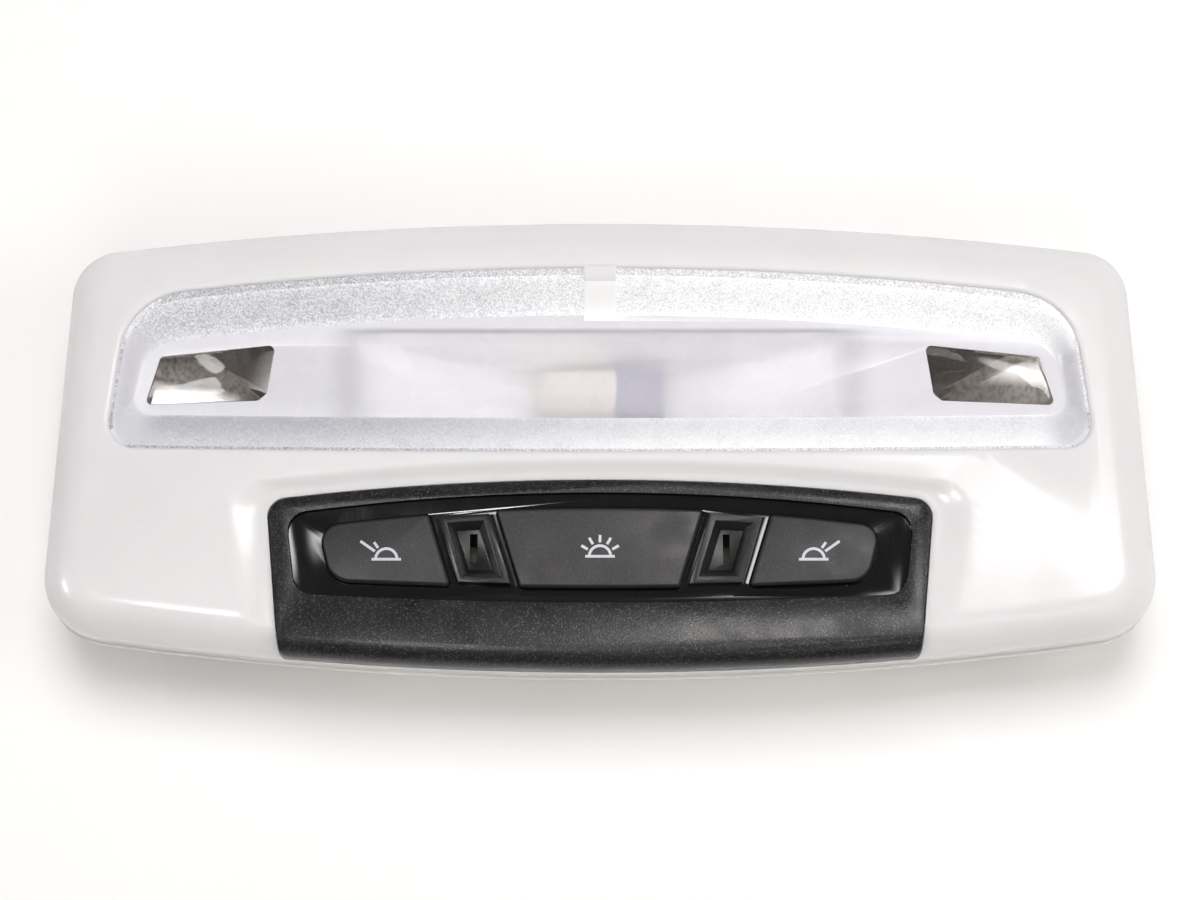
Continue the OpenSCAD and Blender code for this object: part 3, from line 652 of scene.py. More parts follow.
# The rib is the shell's opal made lighter, as painted light
LENS_RIB = Opal("opal_rib", "opal_lens", (246, 244, 245), 0.34, dust=0.02)
# Step and band: their colour holds painted light along X and painted shade on the near slope
LENS_STEP = Sparkle("opal_step", "opal_lens", (200, 200, 206), 0.34, depth=0.02,
                    dim=(138, 138, 146), bright=(240, 240, 243), calm=0.9, painted_light=0.24,
                    end_x=(200, 210))
LENS_BAND = Sparkle("opal_band", "opal_lens", (220, 220, 226), 0.3, depth=0.016,
                    dim=(178, 177, 184), bright=(254, 254, 255))
WINDOW = Clear("window_clear", "clear_window", (247, 247, 247), 0.02)
GLASS = Clear("bulb_clear", "bulb_glass", (255, 248, 234), 0.25, index=1.45)
MIRROR = Metal("reflector_metallised", "metallised", (150, 144, 139), 0.64, ripple_size=9,
               tarnish=0.03)
WHITE = Moulded("reflector_white", "white_reflector", (248, 247, 245), 0.4, mottle=0.02,
                depth=0.003)
FROSTED = Moulded("bulb_frosted", "bulb_glass", (255, 243, 224), 0.3, mottle=0.02, grain=0.3,
                  depth=0.002, dust=0.0, scatter=0.5)
HOLDER = Moulded("holder_lavender", "holder_plastic", (146, 143, 162), 0.4, mottle=0.03)
FILAMENT = Metal("filament_grey", "filament_wire", (120, 116, 112), 0.35)
BRASS = Metal("lead_brass", "lead_brass", (206, 172, 96), 0.28, streak=(0.2, 3, 1), tarnish=0.2)
BLACK = Moulded("bezel_grained", "bezel_black", (17, 17, 18), 0.32, mottle=0.06, grain=0.28,
                depth=0.02, dust=0.02, painted_glints=0.3, dust_colour=(130, 130, 138))
GLOSS = Moulded("bezel_gloss", "bezel_black", (9, 9, 11), 0.12, mottle=0.05, grain=0.8,
                depth=0.0006, scratch=0.04, dust_colour=(120, 118, 116))
LEDGE = Moulded("bezel_ledge", "bezel_black", (13, 13, 15), 0.2, mottle=0.05, grain=0.5,
                depth=0.002, dust=0.06, scratch=0.04, dust_colour=(130, 128, 126))
SATIN = Moulded("button_satin", "button_black", (36, 35, 36), 0.42, grain=0.24, depth=0.009,
                dust=0.03, painted_glints=0.1, dust_colour=(140, 138, 136))
FUNNEL = Moulded("funnel_satin", "funnel_black", (15, 15, 17), 0.3, mottle=0.06, grain=0.3,
                 painted_glints=0.05, dust_colour=(120, 118, 116))
PRINT = Moulded("print_grey", "button_black", (196, 196, 204), 0.5, mottle=0.03, grain=0.2,
                depth=0.004, dust=0.0)
TRAY = Moulded("tray_grey", "tray_plastic", (226, 224, 221), 0.38, mottle=0.025, mottle_size=22,
               grain=0.5, depth=0.008, dust_colour=(150, 146, 140))
SWITCH = Moulded("switch_grey", "switch_plastic", (70, 72, 76), 0.4)
PLUNGER = Moulded("plunger_cream", "plunger_plastic", (226, 220, 202), 0.35)
SPRING = Metal("spring_wire", "spring_steel", (196, 200, 206), 0.22)
BOARD = Board("board_green", "board_green", (32, 80, 52), 0.3)
# The LED is darkened from its cream plastic, as painted shade under its slot
LED = Moulded("led_painted_shade", "led_body", (112, 108, 98), 0.3)
PLUG = Moulded("connector_white", "connector_plastic", (232, 229, 220), 0.35, mottle=0.03)
PIN = Metal("pin_tin", "pin_metal", (212, 208, 196), 0.2)
SCREW = Metal("screw_zinc", "screw_steel", (178, 180, 184), 0.3, tarnish=0.15)
CLIP = Metal("clip_steel", "clip_steel", (186, 190, 196), 0.24, streak=(0.15, 3, 0.6),
             tarnish=0.12)


def arc(centre: Point, radius: float, start: float, end: float, steps: int) -> list[Point]:
    """Points of an arc.

    Args:
        centre: The arc's centre.
        radius: Its radius.
        start: Its first angle, in degrees.
        end: Its last angle, in degrees.
        steps: How many steps it has.

    Returns:
        One more point than steps.
    """
    angles = (math.radians(start + (end - start) * i / steps) for i in range(steps + 1))
    return [(centre[0] + radius * math.cos(a), centre[1] + radius * math.sin(a)) for a in angles]


@dataclass(frozen=True)
class Plan:
    """Outline with leaning sides, bowed long edges and round corners, as in the CAD source."""

    half_width: float
    lean: float
    far: float
    far_bow: float
    far_corner: float
    near: float
    near_bow: float
    near_corner: float

    def corner(self, middle: float, bow: float, radius: float, side: int) -> Point:
        """Centre of a round corner between the leaning side and a bow.

        Args:
            middle: Where the bow's centre is along Y.
            bow: The bow's radius.
            radius: The corner's radius.
            side: 1 for the far corner and -1 for the near one.

        Returns:
            The centre of the right corner.
        """
        t = math.tan(math.radians(self.lean))
        a = self.half_width - middle * t - radius / math.cos(math.radians(self.lean))
        q = 1 + t * t
        u = (a * t + side * math.sqrt(a * a * t * t - q * (a * a - (bow - radius) ** 2))) / q
        return a - u * t, middle + u

    def points(self, corner_steps: int = 12, bow_steps: int = 30) -> list[Point]:
        """The outline's points, anticlockwise from the middle of the near edge.

        Args:
            corner_steps: Steps in a corner.
            bow_steps: Steps in half of a long edge.

        Returns:
            The points.
        """
        far_middle, near_middle = self.far - self.far_bow, self.near + self.near_bow
        far = self.corner(far_middle, self.far_bow, self.far_corner, 1)
        near = self.corner(near_middle, self.near_bow, self.near_corner, -1)
        far_angle = math.degrees(math.atan2(far[1] - far_middle, far[0]))
        near_angle = math.degrees(math.atan2(near[1] - near_middle, near[0]))
        half = (arc((0, near_middle), self.near_bow, -90, near_angle, bow_steps)
                + arc(near, self.near_corner, near_angle, self.lean, corner_steps)[1:]
                + arc(far, self.far_corner, self.lean, far_angle, corner_steps)
                + arc((0, far_middle), self.far_bow, far_angle, 90, bow_steps)[1:])
        return half + [(-x, y) for x, y in half[-2:0:-1]]

    def depth(self, x: float, y: float) -> float:
        """How far a place is inside the outline's edges, with its corners left square.

        Args:
            x: The place along X.
            y: The place along Y.

        Returns:
            The distance to the nearest edge, below 0 outside.
        """
        lean = math.radians(self.lean)
        side = (self.half_width - y * math.tan(lean) - abs(x)) * math.cos(lean)
        far = self.far_bow - math.hypot(x, y - self.far + self.far_bow)
        near = self.near_bow - math.hypot(x, y - self.near - self.near_bow)
        return min(side, far, near)

    def inset(self, d: float) -> "Plan":
        """The same outline with its edges moved inwards.

        Args:
            d: How far they move, below 0 for outwards.

        Returns:
            The new outline.
        """
        corners = (self.far_corner, self.near_corner)
        far_corner, near_corner = (max(r - d, CORNER_KEPT * r - CORNER_LOSS * d) for r in corners)
        return Plan(
            self.half_width - d / math.cos(math.radians(self.lean)), self.lean,
            self.far - d, self.far_bow - d, far_corner,
            self.near + d, self.near_bow - d, near_corner)


Ring = list[Triple]


def level(outline: Sequence[Point], z: float) -> Ring:
    """A flat ring: an outline at one height."""
    return [(x, y, z) for x, y in outline]


def between(low: Ring, high: Ring, across: float, up: float) -> Ring:
    """A ring between two others.

    Args:
        low: The lower ring.
        high: The upper ring, with as many points.
        across: Share of the way along X and Y.
        up: Share of the way along Z.

    Returns:
        The ring.
    """
    shares = (across, across, up)
    return [tuple(p + (q - p) * share for p, q, share in zip(a, b, shares))
            for a, b in zip(low, high)]


def rise(s: float, start: float, end: float) -> float:
    """Smooth curve from 0 to 1, with the given slopes at its start and end."""
    return (s ** 3 - 2 * s * s + s) * start + (3 * s * s - 2 * s ** 3) + (s ** 3 - s * s) * end


def mesh_object(
    name: str, points: Sequence[Sequence[float]], faces: Sequence[Sequence[int]],
) -> bpy.types.Object:
    """Make an object from points in millimetres.

    Args:
        name: The object's name.
        points: Its corners.
        faces: Its faces, as corner numbers.

    Returns:
        The object, in the scene.
    """
    mesh = bpy.data.meshes.new(name)
    mesh.from_pydata([[c * MM for c in p] for p in points], [], faces)
    made = bpy.data.objects.new(name, mesh)
    bpy.context.scene.collection.objects.link(made)
    return made


def loft(name: str, rings: Sequence[Ring]) -> bpy.types.Object:
    """Make a solid through a stack of rings with one number of points.

    Args:
        name: The object's name.
        rings: The rings, from the bottom up.

    Returns:
        The closed solid.
    """
    n = len(rings[0])
    points = [point for ring in rings for point in ring]
    faces = [[j * n + i, j * n + (i + 1) % n, (j + 1) * n + (i + 1) % n, (j + 1) * n + i]
             for j in range(len(rings) - 1) for i in range(n)]
    faces += [list(range(n - 1, -1, -1)), [(len(rings) - 1) * n + i for i in range(n)]]
    return mesh_object(name, points, faces)


def prism(name: str, outline: Sequence[Point], low: float, high: float) -> bpy.types.Object:
    """Make an upright solid between two heights."""
    return loft(name, [level(outline, low), level(outline, high)])


def block(name: str, low: Sequence[float], high: Sequence[float]) -> bpy.types.Object:
    """Make a cutter block between two corners."""
    (x0, y0, z0), (x1, y1, z1) = low, high
    return prism(name, [(x0, y0), (x1, y0), (x1, y1), (x0, y1)], z0, z1)


def settle(piece: bpy.types.Object) -> bpy.types.Object:
    """Replace a piece's mesh by what its modifiers make of it.

    Args:
        piece: The piece.

    Returns:
        The piece.
    """
    bpy.context.view_layer.update()
    graph = bpy.context.evaluated_depsgraph_get()
    mesh = bpy.data.meshes.new_from_object(piece.evaluated_get(graph))
    piece.modifiers.clear()
    piece.data = mesh
    return piece


def combine(
    piece: bpy.types.Object, tool: bpy.types.Object, operation: str = "DIFFERENCE",
) -> bpy.types.Object:
    """Cut, join or intersect a piece with a tool, and remove the tool.

    Args:
        piece: The piece that changes.
        tool: The other solid.
        operation: Blender's name for the operation.

    Returns:
        The piece.
    """
    step = piece.modifiers.new("combine", "BOOLEAN")
    step.operation, step.object, step.solver = operation, tool, "EXACT"
    settle(piece)
    bpy.data.objects.remove(tool)
    return piece


def soften(
    piece: bpy.types.Object, width: float, angle: float = 30.0, segments: int = 2,
) -> bpy.types.Object:
    """Round a piece's sharp edges and shade the rest smoothly.

    Args:
        piece: The piece.
        width: Width of the rounding, or 0 for none.
        angle: Edges sharper than this are rounded.
        segments: Steps in the rounding.

    Returns:
        The piece.
    """
    if width:
        step = piece.modifiers.new("edges", "BEVEL")
        step.width, step.segments, step.limit_method = width * MM, segments, "ANGLE"
        step.angle_limit, step.harden_normals = math.radians(angle), False
        settle(piece)
    mesh = piece.data
    mesh.shade_smooth()
    mesh.set_sharp_from_angle(angle=math.radians(angle))
    return piece


def dress(piece: bpy.types.Object, finish: Finish, body: str = LAMP) -> bpy.types.Object:
    """Give a piece its finish, slot and body.

    Args:
        piece: The piece.
        finish: Its finish.
        body: The CAD body that it rides on.

    Returns:
        The piece.
    """
    if not piece.data.materials:
        piece.data.materials.append(finish.material())
    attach(piece, body)
    log.info("%s: %s on %s", piece.name, finish.name, body)
    return piece


Chooser = Callable[[Vector, Vector], int]


def paint(piece: bpy.types.Object, finishes: Sequence[Finish], choose: Chooser) -> None:
    """Give each face one of several finishes.

    Args:
        piece: The piece.
        finishes: The finishes to choose from.
        choose: Gives a finish's number for a face's centre, in millimetres, and its normal.
    """
    piece.data.materials.clear()
    for finish in finishes:
        piece.data.materials.append(finish.material())
    for face in piece.data.polygons:
        face.material_index = choose(face.center / MM, face.normal)


def rounded_copy(
    nodes: dict[str, bpy.types.Object], name: str, finish: Finish, edge: float = 0.2,
    body: str = LAMP,
) -> bpy.types.Object:
    """Stand a copy with rounded edges in for a CAD node.

    Args:
        nodes: The frame's node objects.
        name: The node's name.
        finish: The copy's finish.
        edge: Width of the rounding.
        body: The CAD body that it rides on.

    Returns:
        The copy.
    """
    mesh = nodes[name].data.copy()
    mesh.materials.clear()
    shape = bmesh.new()
    shape.from_mesh(mesh)
    bmesh.ops.remove_doubles(shape, verts=shape.verts, dist=MERGE * MM)
    bmesh.ops.dissolve_limit(
        shape, angle_limit=math.radians(FLAT_ANGLE), verts=shape.verts, edges=shape.edges,
        delimit={"NORMAL"})
    shape.to_mesh(mesh)
    shape.free()
    piece = bpy.data.objects.new(name + "_finished", mesh)
    bpy.context.scene.collection.objects.link(piece)
    soften(piece, edge)
    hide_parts(name)
    return dress(piece, finish, body)


class LensFace(IntEnum):
    """Number of each of the lens's finishes."""

    SHELL = 0
    FLOOR = 1
    STEP = 2
    SLOPES = 3
    RIB = 4


@dataclass
class Lens:
    """The opal lens, with its trough, panel pocket and window openings."""

    plan: Plan = Plan(93.6, 3.6, 39.5, 690, 8.5, -39.5, 620, 10.5)
    trough: Plan = Plan(84.3, 7, 30, 610, 12, -2.3, STRAIGHT, 4.5)
    slope: Plan = Plan(83.8, 7, 28.8, 608.8, 11, -1.8, STRAIGHT, 4.3)
    floor: Plan = Plan(81.9, 12, 22.4, 603.6, 6.6, 4.2, STRAIGHT, 3)
    panel: Plan = Plan(57.5, -5.3, -7.5, 460, 3, -39.5, 620, 1.5)
    window: Sequence[Point] = (
        (58.9, 7.3), (78.4, 6.5), (75.9, 15.03), (56.2, 17.1), (57.5, 8.5))
    window_corner: float = 0.9
    wall: float = 2.4
    rim_z: float = 19
    roll_z: float = 24
    roll_w: float = 7
    roll_h: float = 7
    crown_h: float = 0.8
    crown_w: float = 22.8
    step_z: float = 30.4
    lip_w: float = 0.9
    floor_z: float = 27.4
    panel_z: float = 31
    panel_under: float = 27.6
    sill_z: float = 24.2
    lip: float = 1.1
    pocket_far: float = 2.5
    pocket_side: float = 5.5
    pocket_corners: Span = (1.6, 1.0)
    pocket_drop: float = 0.4
    pocket_wall: float = 1.6
    pocket_past: float = 0.15
    fit: float = 0.3
    above: float = 60
    rib_w: float = 5.5
    rib_h: float = 0.5
    rib_reach: float = 9.6
    slope_bend: Span = (0.25, 0.55)
    pocket_bend: Span = (0.15, 0.35)
    edge: float = 0.2

    def top(self, x: float, y: float) -> float:
        """Height of the lens's skin over a place.

        Args:
            x: The place along X.
            y: The place along Y.

        Returns:
            The height.
        """
        depth = max(self.plan.depth(x, y), 0.0)
        if depth < self.roll_w:
            return self.roll_z + self.roll_h * math.sin(math.acos(1 - depth / self.roll_w))
        rest = 1 - min((depth - self.roll_w) / self.crown_w, 1)
        return self.roll_z + self.roll_h + self.crown_h * (1 - rest * rest)

    def skin(self, t: float, roll_steps: int = 16, crown_steps: int = 10) -> list[Ring]:
        """Rings of the lens's skin.

        Args:
            t: How far inside the outer face it is.
            roll_steps: Steps in the rolled edge.
            crown_steps: Steps in the crown.

        Returns:
            The rings, from the rim up.
        """
        rings = [level(self.plan.inset(t).points(), self.rim_z - (0.5 if t else 0))]
        for i in range(roll_steps + 1):
            a = math.radians(90 * i / roll_steps)
            inset = t + (self.roll_w - t) * (1 - math.cos(a))
            z = self.roll_z + (self.roll_h - t) * math.sin(a)
            rings.append(level(self.plan.inset(inset).points(), z))
        for i in range(1, crown_steps + 1):
            k = i / crown_steps
            z = self.roll_z + self.roll_h - t + self.crown_h * (1 - (1 - k) ** 2)
            rings.append(level(self.plan.inset(self.roll_w + self.crown_w * k).points(), z))
        return rings

    def slopes(self, lift: float = 0.0, steps: int = 12) -> list[Ring]:
        """Rings of the trough's slopes, with soft edges at the floor and at the step.

        Args:
            lift: How far they are raised at the step.
            steps: Steps from the floor to the step.

        Returns:
            The rings, from the floor up.
        """
        low = level(self.floor.points(), self.floor_z + 0.1 * lift)
        high = level(self.slope.points(), self.step_z + lift)
        shares = [i / steps for i in range(steps + 1)]
        return [between(low, high, s, rise(s, *self.slope_bend)) for s in shares]

    def lip_rings(self, steps: int = 6) -> list[Ring]:
        """Rings of the soft edge between the trough and the crown.

        Args:
            steps: Steps in the edge.

        Returns:
            The rings, from the step up and past the crown.
        """
        rings = []
        for i in range(steps + 1):
            a = math.radians(75 * i / steps)
            out = self.lip_w * (1 - math.cos(a))
            rings.append([(x, y, self.step_z + (self.top(x, y) - self.step_z) * math.sin(a))
                          for x, y in self.trough.inset(-out).points()])
        outer = self.trough.inset(-self.lip_w * 1.3).points()
        rings.append([(x, y, self.top(x, y) + 0.1) for x, y in outer])
        rings.append(level(outer, self.above))
        return rings

    def trough_back(self) -> bpy.types.Object:
        """The solid behind the trough's wall.

        Returns:
            The solid.
        """
        t = self.wall
        solid = loft("trough_back", [
            level(self.floor.inset(-0.5 * t).points(), self.floor_z - t),
            level(self.slope.inset(-0.6 * t).points(), self.step_z - t)])
        top = prism("back_top", self.trough.inset(-t).points(), self.step_z - t, self.above)
        return combine(solid, top, "UNION")

    def rib(self) -> bpy.types.Object:
        """The plain rib that crosses the far slope.

        Returns:
            The rib.
        """
        wide = self.trough.inset(-1)
        solid = prism("rib", wide.points(), self.floor_z - self.wall, self.step_z + self.rib_h)
        raised = self.slopes(self.rib_h)
        combine(solid, loft("rib_cut", raised + [[(x, y, z + 1) for x, y, z in raised[-1]]]))
        half, far = self.rib_w / 2, self.floor.far
        corner = (half, far + self.rib_reach, self.step_z + 1.2)
        keep = block("rib_keep", (-half, far - 1, 0), corner)
        return combine(solid, keep, "INTERSECT")

    def window_cut(self, side: Side, grow: float = 0.05) -> bpy.types.Object:
        """The cutter for a window's opening, with round corners.

        Args:
            side: Which window.
            grow: How much wider its corners are.

        Returns:
            The cutter.
        """
        outline: list[Point] = []
        for i, corner in enumerate(self.window):
            place = Vector(corner)
            before = (Vector(self.window[i - 1]) - place).normalized()
            after = (Vector(self.window[(i + 1) % len(self.window)]) - place).normalized()
            half = before.angle(after) / 2
            centre = place + (before + after).normalized() * self.window_corner / math.sin(half)
            start = math.degrees(math.atan2(before.x, -before.y))
            turn = 180 - 2 * math.degrees(half)
            outline += arc((centre.x, centre.y), self.window_corner + grow, start, start + turn, 6)
        if side is Side.LEFT:
            outline = [(-x, y) for x, y in reversed(outline)]
        return prism("window_cut", outline, self.floor_z - self.wall - 1, self.floor_z + 1)

    def pocket(self, steps: int = 10) -> bpy.types.Object:
        """The pocket that the switch panel stands in, with its soft slopes.

        Args:
            steps: Steps from the panel to the crown and a little past it.

        Returns:
            The cutter.
        """
        opening = self.panel.inset(-self.fit)
        wide = opening.inset(-self.lip)
        low_z = self.panel_z - self.pocket_drop
        rings = []
        for i in range(steps + 1):
            s = (1 + self.pocket_past) * i / steps
            far, side = s * self.pocket_far, s * self.pocket_side
            far_corner, near_corner = (s * growth for growth in self.pocket_corners)
            outline = Plan(
                wide.half_width + side, wide.lean, wide.far + far, wide.far_bow,
                wide.far_corner + far_corner, wide.near - far, wide.near_bow,
                wide.near_corner + near_corner).points()
            share = rise(min(s, 1), *self.pocket_bend) + max(s - 1, 0) * 0.5
            rings.append([(x, y, low_z + max(self.top(x, y) - low_z, self.pocket_drop) * share)
                          for x, y in outline])
        rings.append([(x, y, self.above) for x, y, _ in rings[-1]])
        upright = prism("opening", opening.points(), self.sill_z, self.above)
        return combine(loft("pocket", rings), upright, "UNION")

    def choose(self, place: Vector, normal: Vector) -> LensFace:
        """The finish of a face.

        Args:
            place: The face's centre, in millimetres.
            normal: Its normal.

        Returns:
            The finish's number.
        """
        inside = self.trough.depth(place.x, place.y)
        if place.z > self.step_z + 0.12 or inside < -0.05:
            return LensFace.SHELL
        if abs(place.x) < self.rib_w / 2 + 0.05 and place.y > self.floor.far - 0.5:
            return LensFace.RIB
        if abs(place.z - self.step_z) < 0.02 and self.slope.depth(place.x, place.y) < 0.1:
            return LensFace.STEP
        behind = normal.z < -0.98 and place.z < self.floor_z - 2
        if abs(place.z - self.floor_z) < 0.01 or behind:
            return LensFace.FLOOR
        return LensFace.SLOPES if normal.z > 0.1 and place.z > self.floor_z else LensFace.SHELL

    def build(self) -> bpy.types.Object:
        """Make the lens and its finishes.

        Returns:
            The lens.
        """
        lens = loft("lens_cover_finished", self.skin(0))
        hollow = loft("hollow", self.skin(self.wall))
        combine(hollow, self.trough_back())
        back = self.panel.inset(-self.fit - self.pocket_wall).points()
        combine(hollow, prism("panel_back", back, self.panel_under, self.above))
        combine(lens, hollow)
        combine(lens, combine(loft("trough", self.slopes() + self.lip_rings()), self.rib()))
        for side in Side:
            combine(lens, self.window_cut(side))
        combine(lens, self.pocket())
        paint(lens, (LENS_SHELL, LENS_FLOOR, LENS_STEP, LENS_BAND, LENS_RIB), self.choose)
        soften(lens, self.edge)
        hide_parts("lens_cover")
        return dress(lens, LENS_SHELL)


@dataclass
class Optics:
    """Windows, reflectors, bulbs, holders and leads."""

    nodes: dict[str, bpy.types.Object]

    def build(self) -> None:
        """Dress every optical piece."""
        rounded_copy(self.nodes, "dome_reflector", WHITE, 0.3)
        for side in Side:
            rounded_copy(self.nodes, f"reading_window_{side.word}", WINDOW, 0.12)
            rounded_copy(self.nodes, f"reading_reflector_{side.word}", MIRROR, 0.15)
        for lamp in ("dome", "left", "right"):
            rounded_copy(self.nodes, f"lamp_holder_{lamp}", HOLDER, 0.3)
            rounded_copy(self.nodes, f"bulb_{lamp}", FROSTED if lamp == "dome" else GLASS, 0.0)
            rounded_copy(self.nodes, f"filament_{lamp}", FILAMENT, 0.0)
        for lead in ("lead_common", "lead_dome", "lead_reading_left", "lead_reading_right"):
            rounded_copy(self.nodes, lead, BRASS, 0.08)


@dataclass
class Symbol:
    """A printed lamp symbol: a half round lamp on a bar, with rays."""

    centre: Point
    rays: Sequence[Triple]
    stroke: float = 0.46
    dome_radius: float = 1.82
    bar_half: float = 2.5
    thickness: float = 0.02
    layer: float = 0.002
    sink: float = 0.05

    def band(self, points: Sequence[Point]) -> list[Point]:
        """Outline of a line of the stroke's width through the points.

        Args:
            points: The line's points, round the symbol's centre.

        Returns:
            The outline, closed.
        """
        half = self.stroke / 2
        left: list[Point] = []
        right: list[Point] = []
        for i, point in enumerate(points):
            before, after = points[max(i - 1, 0)], points[min(i + 1, len(points) - 1)]
            along = (Vector(after) - Vector(before)).normalized()
            left.append((point[0] - along.y * half, point[1] + along.x * half))
            right.append((point[0] + along.y * half, point[1] - along.x * half))
        return left + right[::-1]

    def build(self, name: str, top: float, body: str) -> bpy.types.Object:
        """Make the symbol on a button's face.

        Args:
            name: The symbol's name.
            top: Height of the button's face.
            body: The button's body.

        Returns:
            The symbol.
        """
        bar = [(-self.bar_half, 0), (self.bar_half, 0)]
        lines = [arc((0, 0), self.dome_radius, 0, 180, 20), bar]
        for angle, start, end in self.rays:
            a = math.radians(angle)
            lines.append([(r * math.cos(a), r * math.sin(a)) for r in (start, end)])
        points: list[Triple] = []
        faces: list[list[int]] = []
        for number, line in enumerate(lines):
            z = top + self.thickness - self.layer * number
            band = self.band(line)
            count, start = len(band), len(points)
            for height in (z, top - self.sink):
                points += [(self.centre[0] + x, self.centre[1] + y, height) for x, y in band]
            for i in range(count // 2 - 1):
                quad = [start + i, start + i + 1, start + count - 2 - i, start + count - 1 - i]
                faces += [quad[::-1], [n + count for n in quad]]
            for i in range(count):
                here, after = start + i, start + (i + 1) % count
                faces.append([here + count, after + count, after, here])
        piece = mesh_object(name, points, faces)
        shape = bmesh.new()
        shape.from_mesh(piece.data)
        bmesh.ops.recalc_face_normals(shape, faces=shape.faces)
        shape.to_mesh(piece.data)
        shape.free()
        return dress(piece, PRINT, body)


class PanelFace(IntEnum):
    """Number of each of the panel's finishes."""

    GRAINED = 0
    GLOSS = 1
    LEDGE = 2


@dataclass
class SwitchPanel:
    """The black panel with its well, buttons, funnels, switches and board."""

    nodes: dict[str, bpy.types.Object]
    ledge_z: float = 29.9
    rim_z: float = 30.8
    button_z: float = 30.4
    well_half: float = 56
    well_y: Span = (-29.4, -9.2)
    ledge_far: float = -25.5

    def choose(self, place: Vector, normal: Vector) -> PanelFace:
        """The finish of a face of the panel.

        Args:
            place: The face's centre, in millimetres.
            normal: Its normal, which doesn't count here.

        Returns:
            The finish's number.
        """
        near, far = self.well_y
        inside = abs(place.x) < self.well_half and near < place.y < far
        if not inside or place.z > self.rim_z:
            return PanelFace.GRAINED
        if abs(place.z - self.ledge_z) < 0.2 and place.y < self.ledge_far:
            return PanelFace.LEDGE
        return PanelFace.GLOSS

    def build(self) -> None:
        """Dress every piece of the panel."""
        bezel = rounded_copy(self.nodes, "switch_bezel", BLACK, 0.22)
        paint(bezel, (BLACK, GLOSS, LEDGE), self.choose)
        for side in Side:
            rounded_copy(self.nodes, f"light_funnel_{side.word}", FUNNEL, 0.12)
            rounded_copy(self.nodes, f"ambient_led_{side.word}", LED, 0.15)
        for place in ("left", "centre", "right"):
            moving = f"button_{place}_moving"
            rounded_copy(self.nodes, f"button_{place}", SATIN, 0.18, moving)
            rounded_copy(self.nodes, f"switch_plunger_{place}", PLUNGER, 0.15, moving)
            rounded_copy(self.nodes, f"switch_case_{place}", SWITCH, 0.2)
            rounded_copy(self.nodes, f"return_spring_{place}", SPRING, 0.0)
        rays = [(126, 2.4, 3.6), (145, 2.4, 5.4)]
        mirrored = [(180 - angle, start, end) for angle, start, end in rays]
        symbols = {
            "centre": Symbol((0, -20.4), [(a, 2.4, 3.66) for a in (30, 60, 90, 120, 150)]),
            "left": Symbol((-36.2, -20.9), rays),
            "right": Symbol((36.2, -20.9), mirrored)}
        for place, symbol in symbols.items():
            symbol.build(f"symbol_{place}", self.button_z, f"button_{place}_moving")
        for name, finish, edge in (("switch_board", BOARD, 0.1), ("connector_header", PLUG, 0.2),
                                   ("connector_pins", PIN, 0.06), ("bezel_screws", SCREW, 0.1)):
            rounded_copy(self.nodes, name, finish, edge)


@dataclass
class Tray:
    """The tray and its spring clips."""

    nodes: dict[str, bpy.types.Object]

    def build(self) -> None:
        """Dress the tray and the clips."""
        rounded_copy(self.nodes, "housing", TRAY, 0.2)
        for end in ("far", "near"):
            for side in Side:
                rounded_copy(self.nodes, f"spring_clip_{end}_{side.word}", CLIP, 0.06)


@dataclass(frozen=True)
class Lamp:
    """A lamp that fades towards its edges. Its place and size are in metres."""

    name: str
    place: Triple
    size: Span
    power: float
    mirrored: bool = True
    lit: bool = False
    flat: bool = False
    tint: Colour = (255, 252, 249)
    fall: Span = (0.5, 0.1)

    def build(self) -> bpy.types.Object:
        """Hang the lamp in the scene.

        Returns:
            The lamp, not yet aimed.
        """
        light = bpy.data.lights.new(self.name, "AREA")
        light.shape = "RECTANGLE"
        light.size, light.size_y = self.size
        light.energy = self.power
        light.color = linear(self.tint)[:3]
        if self.mirrored:
            self.fade(light)
        made = bpy.data.objects.new(self.name, light)
        made.location = self.place
        made.visible_glossy, made.visible_diffuse = self.mirrored, self.lit
        bpy.context.scene.collection.objects.link(made)
        return made

    def fade(self, light: bpy.types.Light) -> None:
        """Make the light fall off from the lamp's middle to its edges.

        Args:
            light: The lamp's light.
        """
        light.use_nodes = True
        g = Tree(light.node_tree)
        place = g.node("ShaderNodeNewGeometry", {}).outputs["Parametric"]
        inputs = {0: place, 1: (0.5, 0.5, 0)}
        distance = g.node("ShaderNodeVectorMath", inputs, operation="DISTANCE").outputs["Value"]
        shine = g.node("ShaderNodeEmission", {"Strength": g.fade(distance, *self.fall)}).outputs[0]
        g.node("ShaderNodeOutputLight", {0: shine})


def aim(thing: bpy.types.Object, target: Sequence[float]) -> None:
    """Turn a camera or a lamp towards a point."""
    thing.rotation_euler = (Vector(target) - thing.location).to_track_quat("-Z", "Y").to_euler()


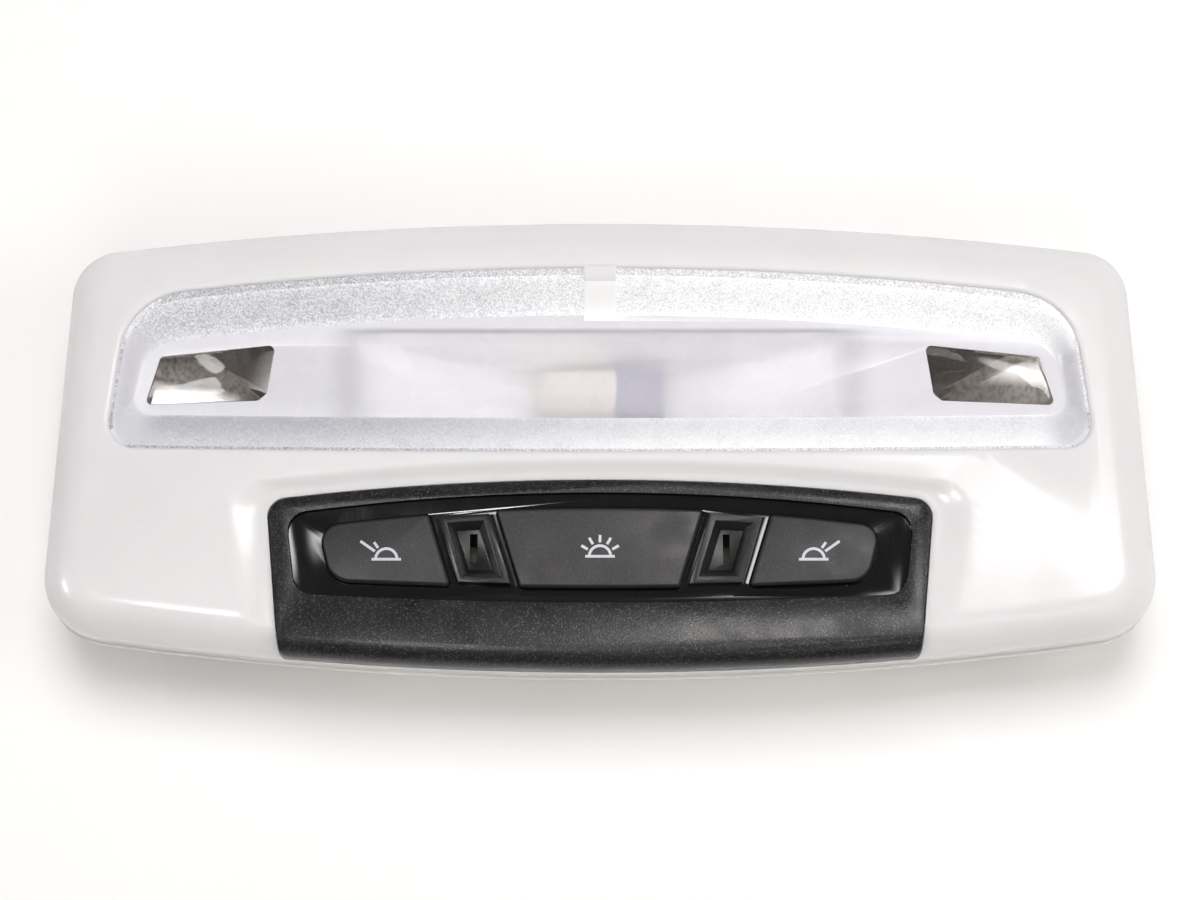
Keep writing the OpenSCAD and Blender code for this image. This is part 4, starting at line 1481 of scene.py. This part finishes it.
@dataclass
class Studio:
    """Camera, floor and lamps. Places are in metres."""

    focal: float = 88.7
    sensor: float = 36
    clip: Span = (0.01, 50)
    camera: Triple = (0, -0.1026, 0.5248)
    target: Triple = (0, -0.00093, 0.025)
    lamp_target: Triple = (0, 0, 0.02)
    floor_half: float = 4.0
    surround: Colour = (255, 252, 250)
    world: float = 0.36
    seen: float = 1.0
    mirrored: Span = (0.2, 1.4)
    mirrored_y: Span = (-0.2, 0.4)
    mirrored_z: Span = (0.5, 0.1)
    lamps: Sequence[Lamp] = (
        Lamp("top", (-0.02, 0.26, 0.95), (0.4, 0.4), 5.4, mirrored=False, lit=True,
             tint=(252, 253, 255)),
        Lamp("right", (0.6, -0.06, 0.5), (0.4, 0.4), 1.4, mirrored=False, lit=True),
        Lamp("fill", (-0.05, -0.6, 0.7), (0.5, 0.5), 1.5, mirrored=False, lit=True),
        Lamp("band_shine", (0.28, -0.5, 0.75), (0.5, 0.32), 1.6),
        Lamp("key_shine", (0.25, 0.08, 0.78), (0.42, 0.24), 5.6, flat=True),
        Lamp("side_shine", (-0.74, -0.12, 0.5), (0.24, 0.34), 9.0),
        Lamp("spot_shine", (-0.185, -0.13, 0.78), (0.12, 0.24), 3.6, flat=True))

    def backdrop(self, g: Tree, strength: Value) -> Socket:
        """A surround of the given strength, in the studio's colour."""
        inputs = {0: linear(self.surround), 1: strength}
        return g.node("ShaderNodeBackground", inputs).outputs[0]

    def horizon(self, g: Tree) -> Socket:
        """Strength of the mirrored surround: pale low at the back, dimmer above and in front.

        Args:
            g: The world's tree.

        Returns:
            The strength.
        """
        place = g.node("ShaderNodeTexCoord", {}).outputs["Generated"]
        parts = g.node("ShaderNodeSeparateXYZ", {0: place}).outputs
        dim, pale = self.mirrored
        back = g.times(g.fade(parts[1], *self.mirrored_y), pale - dim)
        return g.plus(g.times(g.fade(parts[2], *self.mirrored_z), back), dim)

    def hang_camera(self) -> None:
        """Put the camera where the photograph was taken."""
        view = bpy.data.cameras.new("camera")
        view.lens, view.sensor_width = self.focal, self.sensor
        view.clip_start, view.clip_end = self.clip
        camera = bpy.data.objects.new("camera", view)
        camera.location = self.camera
        aim(camera, self.target)
        bpy.context.scene.collection.objects.link(camera)
        bpy.context.scene.camera = camera

    def lay_floor(self) -> None:
        """Make the floor, which isn't part of the lamp."""
        half = self.floor_half / MM
        corners = [(-half, -half, 0), (half, -half, 0), (half, half, 0), (-half, half, 0)]
        floor = mesh_object("floor", corners, [[0, 1, 2, 3]])
        floor.data.materials.append(Paper("floor_paper", "", (250, 249, 248)).material())

    def surround_all(self) -> None:
        """Make the world: one strength for light, one for mirrors and one for the camera."""
        world = bpy.data.worlds.new("studio")
        bpy.context.scene.world = world
        world.use_nodes = True
        g = Tree(world.node_tree)
        path = g.node("ShaderNodeLightPath", {}).outputs
        shader = self.backdrop(g, self.world)
        for ray, strength in (("Is Glossy Ray", self.horizon(g)), ("Is Camera Ray", self.seen)):
            shader = g.mix_shaders(path[ray], shader, self.backdrop(g, strength))
        g.node("ShaderNodeOutputWorld", {0: shader})

    def build(self) -> None:
        """Make the camera, lamps, floor and world."""
        self.hang_camera()
        for lamp in self.lamps:
            aim(lamp.build(), (*lamp.place[:2], 0) if lamp.flat else self.lamp_target)
        self.lay_floor()
        self.surround_all()
        bpy.context.scene.view_settings.view_transform = "Standard"


def main() -> None:
    """Build the whole scene round the frame."""
    logging.basicConfig(level=logging.INFO, format="%(message)s")
    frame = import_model()
    nodes = frame["nodes"]
    Studio().build()
    Tray(nodes).build()
    Optics(nodes).build()
    Lens().build()
    SwitchPanel(nodes).build()


if __name__ == "__main__":
    main()
